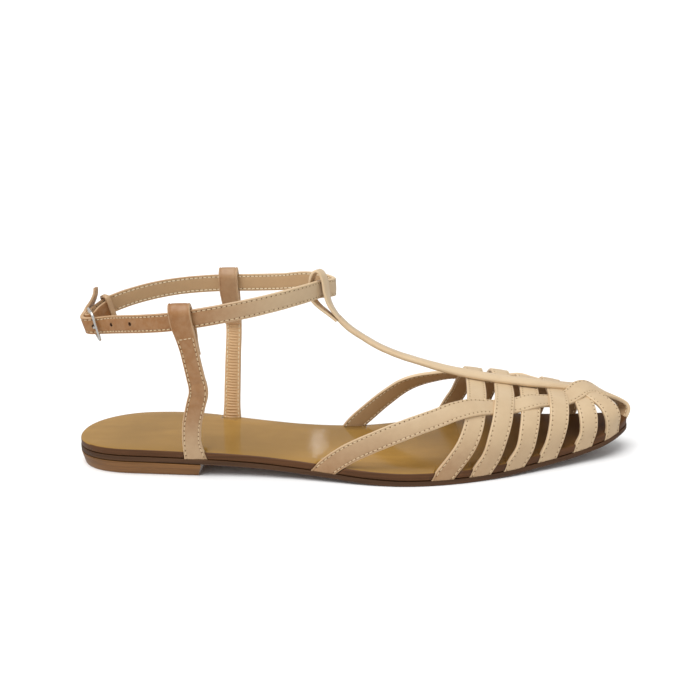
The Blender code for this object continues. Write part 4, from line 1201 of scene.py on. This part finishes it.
def wire(name, points, radius, smooth, materials=(), cyclic=False):
    """A round wire through points, made as a bevelled curve and turned into a mesh."""
    deselect()
    bpy.ops.curve.primitive_bezier_curve_add(radius=0.001)
    piece = bpy.context.object
    piece.name = name
    line = piece.data
    line.splines.clear()
    knots = line.splines.new("POLY")
    knots.points.add(len(points) - 1)
    for knot, point in zip(knots.points, points):
        knot.co = (*((point - CENTRE) * MM), 1)
    knots.use_cyclic_u = cyclic
    line.dimensions = "3D"
    line.bevel_depth = radius * MM
    line.bevel_resolution = smooth
    line.use_fill_caps = True
    bpy.ops.object.convert(target="MESH")
    piece = bpy.context.object
    piece.data.materials.clear()
    coat(piece, materials)
    clean(merge=0.000001, smooth=40)
    return piece


# ---------------------------------------------------------------- pieces
class SANDAL_OT_outsole(bpy.types.Operator):
    """Thin outsole, following the heel's top, the waist and the ball"""

    bl_idname = "sandal.outsole"
    bl_label = "Outsole"

    def execute(self, context):
        stations = context.scene.sandal_sizes.sole_stations
        shape = (0, LENGTH, 0, outsole_top, outsole_bottom, SHARP_RIM, stations)
        give(sole_plate("outsole_layer", ["outsole leather"], *shape), "outsole")
        return {"FINISHED"}


class SANDAL_OT_heel(bpy.types.Operator):
    """Low stacked heel"""

    bl_idname = "sandal.heel"
    bl_label = "Heel"

    def execute(self, context):
        stations = context.scene.sandal_sizes.sole_stations // 2
        levels = (lambda x: outsole_bottom(x) - GAP, lambda x: 0.0)
        shape = (0, HEEL_FRONT, 0, *levels, SHARP_RIM, stations, HEEL_TAPER, HEEL_RAKE)
        give(sole_plate("heel_block", ["heel stack"], *shape), "heel")
        return {"FINISHED"}


class SANDAL_OT_footbed(bpy.types.Operator):
    """Insole with its glossy footbed cover and a notch for each strap's end"""

    bl_idname = "sandal.footbed"
    bl_label = "Footbed"

    def execute(self, context):
        sizes = context.scene.sandal_sizes
        levels = (insole_top, lambda x: insole_top(x) - INSOLE_THICK)
        shape = (INSOLE_INSET, LENGTH - INSOLE_INSET, -INSOLE_INSET, *levels, SOFT_RIM, sizes.sole_stations)
        piece = sole_plate("footbed_board", ["footbed leather", "insole edge"], *shape)
        for name, turns in CAGE.items():
            samples = cage_samples(turns, NOTCH_STEP)
            third = len(samples) // 3
            for place, end, turn in (("start", samples[:third], turns[0]), ("end", samples[-third:], turns[-1])):
                room = TIP_NOTCH_ROOM if isinstance(turn, Nose) else NOTCH_ROOM
                rows = rows_along(thin_out(past_insole(end)))
                cut_away(piece, notch_cutter(f"{name} notch {place}", rows, STRAP_THICK, room))
        for bends in (QUARTER_LATERAL, QUARTER_MEDIAL):
            face = free_face(bends[:3], quarter_side, sizes, 0, step=1.0)
            rows = [[Vector(row[0]), Vector(row[2])] for row in face.rows]
            cut_away(piece, notch_cutter("quarter notch", rows, QUARTER_THICK / 2, NOTCH_ROOM))
        give(piece, "insole")
        for polygon in piece.data.polygons:
            x = on_sole(polygon.center.x / MM + CENTRE.x)
            cover = COVER_THICK_HEEL if x < HEEL_FRONT else COVER_THICK
            polygon.material_index = int(polygon.center.z < (insole_top(x) - cover) * MM)
        return {"FINISHED"}


class SANDAL_OT_vamp(bpy.types.Operator):
    """The seven stitched straps woven over the toes"""

    bl_idname = "sandal.vamp"
    bl_label = "Woven vamp"

    def execute(self, context):
        sizes = context.scene.sandal_sizes
        section = strap_section(STRAP_THICK)
        for k, (name, turns) in enumerate(CAGE.items()):
            face = cage_face(turns, sizes, k * 1.3)
            strap = lay_strap("vamp_" + name, face, section, ["strap leather", "lining leather"])
            trim_below(strap)
            give(strap, "upper")
            sew_both("{}_" + name, face, sizes, "upper", UNDER_SINK - STRAP_THICK)
        return {"FINISHED"}


class SANDAL_OT_t_strap(bpy.types.Operator):
    """The rolled T-strap, its end looped over the ankle strap"""

    bl_idname = "sandal.t_strap"
    bl_label = "T-strap"

    def execute(self, context):
        sizes = context.scene.sandal_sizes
        for name, bends, thick, seed in (
            ("rolled_t_strap", T_STRAP, T_THICK, 1.0),
            ("t_strap_loop", T_LOOP, T_LOOP_THICK, 4.0),
        ):
            face = free_face(bends, cross_side, sizes, thick, seed=seed)
            leathers = ["rolled leather", "lining leather"]
            give(lay_strap(name, face, rolled_section(thick), leathers, wave=0.09), "upper")
        return {"FINISHED"}


class SANDAL_OT_quarters(bpy.types.Operator):
    """The two quarter straps: stitched leather outside, gathered elastic behind the medial one"""

    bl_idname = "sandal.quarters"
    bl_label = "Quarter straps"

    def execute(self, context):
        sizes = context.scene.sandal_sizes
        section = strap_section(QUARTER_THICK)
        for side, bends, out, step, lining, looks in (
            ("lateral", QUARTER_LATERAL, 1, None, "lining leather", {"creases": LATERAL_CREASES}),
            ("medial", QUARTER_MEDIAL, -1, 0.27, "gathered lining", {"ribs": gathers(sizes)}),
        ):
            node = "quarter_strap_" + side
            face = free_face(bends, quarter_side, sizes, QUARTER_THICK, out, step, seed=2.0)
            leathers = ["strap leather", lining]
            strap = lay_strap(side + "_quarter", face, section, leathers, sewn=SEWN_QUARTER, **looks)
            trim_below(strap)
            give(strap, node)
            under, reach = FREE_UNDER_SINK - QUARTER_THICK, (0, SEWN_QUARTER / face.length)
            sew_both(side + "_quarter_{}", face, sizes, node, under, reach, SEWN_QUARTER)
        return {"FINISHED"}


class SANDAL_OT_ankle_strap(bpy.types.Operator):
    """The ankle strap, stitched on both faces, with its holes and the flap round the buckle's heel bar"""

    bl_idname = "sandal.ankle_strap"
    bl_label = "Ankle strap"

    def execute(self, context):
        sizes = context.scene.sandal_sizes
        face = free_face(ANKLE, ankle_side, sizes, ANKLE_THICK, seed=5.0)
        leathers = ["strap leather", "lining leather"]
        strap = lay_strap("ankle_band", face, strap_section(ANKLE_THICK), leathers, pared=PARED_END)
        inner = PRONG_HOLE + (prong_path()[2] - PRONG_HOLE).normalized() * HOLE_REACH
        spare = HOLE_ACROSS * HOLE_REACH
        holes = [("prong hole", [PRONG_TIP, PRONG_HOLE, inner])]
        holes += [("spare hole", [spot - spare, spot + spare]) for spot in SPARE_HOLES]
        for name, path in holes:
            cut_away(strap, wire(name, path, HOLE_RADIUS, 6, ["insole edge"]))
        give(strap, "ankle_strap")
        face_of_flap = free_face(FLAP, ankle_side, sizes, FLAP_THICK, -1, step=0.3, seed=7.0)
        leathers = ["plain leather", "lining leather"]
        flap = lay_strap("buckle_flap", face_of_flap, strap_section(FLAP_THICK, False), leathers, wave=0.03)
        half_slot = BAR_UP * (PRONG_WIRE + GAP)
        cut_away(flap, wire("prong slot", [PRONG_RING - half_slot, PRONG_RING + half_slot], SLOT_RADIUS, 8))
        give(flap, "ankle_strap")
        sew_both("ankle_{}", face, sizes, "ankle_strap", FREE_UNDER_SINK - ANKLE_THICK, SEWN_ANKLE)
        return {"FINISHED"}


class SANDAL_OT_keeper(bpy.types.Operator):
    """The leather keeper loop beside the buckle"""

    bl_idname = "sandal.keeper"
    bl_label = "Keeper"

    def execute(self, context):
        along = KEEPER_ALONG.normalized()
        out = along.cross(UP).normalized()
        up = out.cross(along)
        grow = KEEPER_THICK / 2
        half_wide, half_high = (room / 2 + grow for room in KEEPER_ROOM)

        def bent(part, power):
            return math.copysign(abs(part) ** power, part)

        rows = []
        for k in range(KEEPER_STEPS + 1):
            turn = 2 * math.pi * k / KEEPER_STEPS
            wide, high = bent(math.cos(turn), KEEPER_SQUARE), bent(math.sin(turn), KEEPER_SQUARE)
            middle = KEEPER + out * (wide * half_wide) + up * (high * half_high)
            facing = (out * bent(wide, 3) + up * bent(high, 3)).normalized()
            rows.append([middle + along * (a * KEEPER_WIDE / 2) + facing * (b * grow) for a, b in KEEPER_SECTION])
        give(lay_grid("keeper_loop", rows, ["plain leather"]), "keeper")
        return {"FINISHED"}


class SANDAL_OT_buckle(bpy.types.Operator):
    """The polished buckle frame and its prong"""

    bl_idname = "sandal.buckle"
    bl_label = "Buckle"

    def execute(self, context):
        across = (FREE_BAR - HEEL_BAR).normalized()
        path = []
        for bar, way in ((HEEL_BAR, 1), (FREE_BAR, -1)):
            for end in (-way, way):
                centre = bar + BAR_UP * ((RAIL - FRAME_CORNER) * end) + across * (FRAME_CORNER * way)
                first, last = BAR_UP * end, -across * way
                if end == way:
                    first, last = last, first
                path += [centre + (first * math.cos(a) + last * math.sin(a)) * FRAME_CORNER for a in CORNER_STEPS]
        for name, points, radius, cyclic, node in (
            ("buckle_wire", path, FRAME_WIRE * 0.8, True, "buckle_frame"),
            ("prong_wire", prong_path(24), PRONG_WIRE, False, "buckle_prong"),
        ):
            give(wire(name, points, radius, 5, ["buckle metal"], cyclic), node)
        return {"FINISHED"}


# ---------------------------------------------------------------- stage
FLOOR_WIDE, FLOOR_LONG, FLOOR_NEAR = 9, 7, -3  # metres; the last is its near edge
SWEEP = 1.2  # where the floor starts to curve up behind the shoe, and the curve's radius
SKY_LIGHT, SUN_LIGHT, SUN_SPREAD = 0.56, 2.5, 50  # the last in degrees
SUN_WAY = Vector((0.25, 0.3, -0.92))
WINDOW_PLACE, WINDOW_SIZE, WINDOW_LIGHT = (-0.02, 1.0, 0.374), (0.018, 0.006), 0.007
SENSOR = 36


def lay_floor(colour):
    """A pale floor that sweeps up behind the shoe."""
    deselect()
    bpy.ops.mesh.primitive_grid_add(x_subdivisions=2, y_subdivisions=40, size=1)
    floor = bpy.context.object
    floor.name = "studio_floor"
    for vertex in floor.data.vertices:
        way = (vertex.co.y + 0.5) * FLOOR_LONG + FLOOR_NEAR
        turn = min(max((way - SWEEP) / SWEEP, 0), math.pi / 2)
        wall = max(0, way - SWEEP * (1 + math.pi / 2))
        rise = SWEEP * (1 - math.cos(turn)) + wall
        vertex.co = (vertex.co.x * FLOOR_WIDE, min(way, SWEEP) + SWEEP * math.sin(turn), rise)
    bpy.ops.object.shade_smooth()
    floor.data.materials.append(floor_material("pale floor", colour))
    floor.visible_glossy = False


def hang_lamp(kind, name, place, aim):
    """A lamp at a place, turned to shine along aim."""
    deselect()
    bpy.ops.object.light_add(type=kind, location=place)
    lamp = bpy.context.object
    lamp.name = name
    lamp.rotation_euler = aim.to_track_quat("-Z", "Y").to_euler()
    return lamp.data


def set_camera(stage):
    """The camera, from its place, pitch, yaw and roll."""
    deselect()
    bpy.ops.object.camera_add()
    camera = bpy.context.object
    camera.name = "studio camera"
    camera.data.sensor_width, camera.data.lens = SENSOR, stage.focal
    level = Vector((math.sin(stage.yaw), math.cos(stage.yaw), 0))
    forward = level * math.cos(stage.pitch) - UP * math.sin(stage.pitch)
    right = Vector((math.cos(stage.yaw), -math.sin(stage.yaw), 0))
    above = right.cross(forward)
    leant_right = right * math.cos(stage.roll) + above * math.sin(stage.roll)
    leant_up = above * math.cos(stage.roll) - right * math.sin(stage.roll)
    turn = Matrix((leant_right, leant_up, -forward)).transposed()
    camera.matrix_world = Matrix.Translation((stage.along, -stage.away, stage.height)) @ turn.to_4x4()
    bpy.context.scene.camera = camera


class SANDAL_OT_stage(bpy.types.Operator):
    """Pale floor that sweeps up behind, soft lights and the camera"""

    bl_idname = "sandal.stage"
    bl_label = "Stage"

    def execute(self, context):
        scene = context.scene
        lay_floor(scene.sandal_stage.floor)
        scene.world = bpy.data.worlds.new("studio")
        scene.world.use_nodes = True
        background = scene.world.node_tree.nodes["Background"]
        background.inputs["Color"].default_value = (1, 1, 1, 1)
        background.inputs["Strength"].default_value = SKY_LIGHT
        sun = hang_lamp("SUN", "overhead softbox", (0, 0, 2), SUN_WAY)
        sun.energy, sun.angle = SUN_LIGHT, math.radians(SUN_SPREAD)
        window = hang_lamp("AREA", "window light", WINDOW_PLACE, -Vector(WINDOW_PLACE))
        window.shape = "RECTANGLE"
        window.size, window.size_y = WINDOW_SIZE
        window.energy = WINDOW_LIGHT
        set_camera(scene.sandal_stage)
        scene.view_settings.view_transform = "Standard"
        return {"FINISHED"}


class SANDAL_PT_panel(bpy.types.Panel):
    """Sizes, colours and the pieces of the sandal"""

    bl_idname = "SANDAL_PT_panel"
    bl_label = "T-strap sandal"
    bl_space_type = "VIEW_3D"
    bl_region_type = "UI"
    bl_category = "Sandal"

    def draw(self, context):
        for group in (context.scene.sandal_sizes, context.scene.sandal_colours, context.scene.sandal_stage):
            box = self.layout.box()
            for name in group.__annotations__:
                box.prop(group, name)
        for operator in OPERATORS:
            self.layout.operator(operator.bl_idname)


OPERATORS = (
    SANDAL_OT_outsole, SANDAL_OT_heel, SANDAL_OT_footbed, SANDAL_OT_vamp, SANDAL_OT_t_strap, SANDAL_OT_quarters,
    SANDAL_OT_ankle_strap, SANDAL_OT_keeper, SANDAL_OT_buckle, SANDAL_OT_stage,
)
CLASSES = (SandalSizes, SandalColours, SandalStage, *OPERATORS, SANDAL_PT_panel)


def register():
    for kind in CLASSES:
        bpy.utils.register_class(kind)
    bpy.types.Scene.sandal_sizes = PointerProperty(type=SandalSizes)
    bpy.types.Scene.sandal_colours = PointerProperty(type=SandalColours)
    bpy.types.Scene.sandal_stage = PointerProperty(type=SandalStage)


def unregister():
    del bpy.types.Scene.sandal_sizes, bpy.types.Scene.sandal_colours, bpy.types.Scene.sandal_stage
    for kind in reversed(CLASSES):
        bpy.utils.unregister_class(kind)


def main():
    register()
    for operator in OPERATORS:
        group, name = operator.bl_idname.split(".")
        getattr(getattr(bpy.ops, group), name)()


if __name__ == "__main__":
    main()
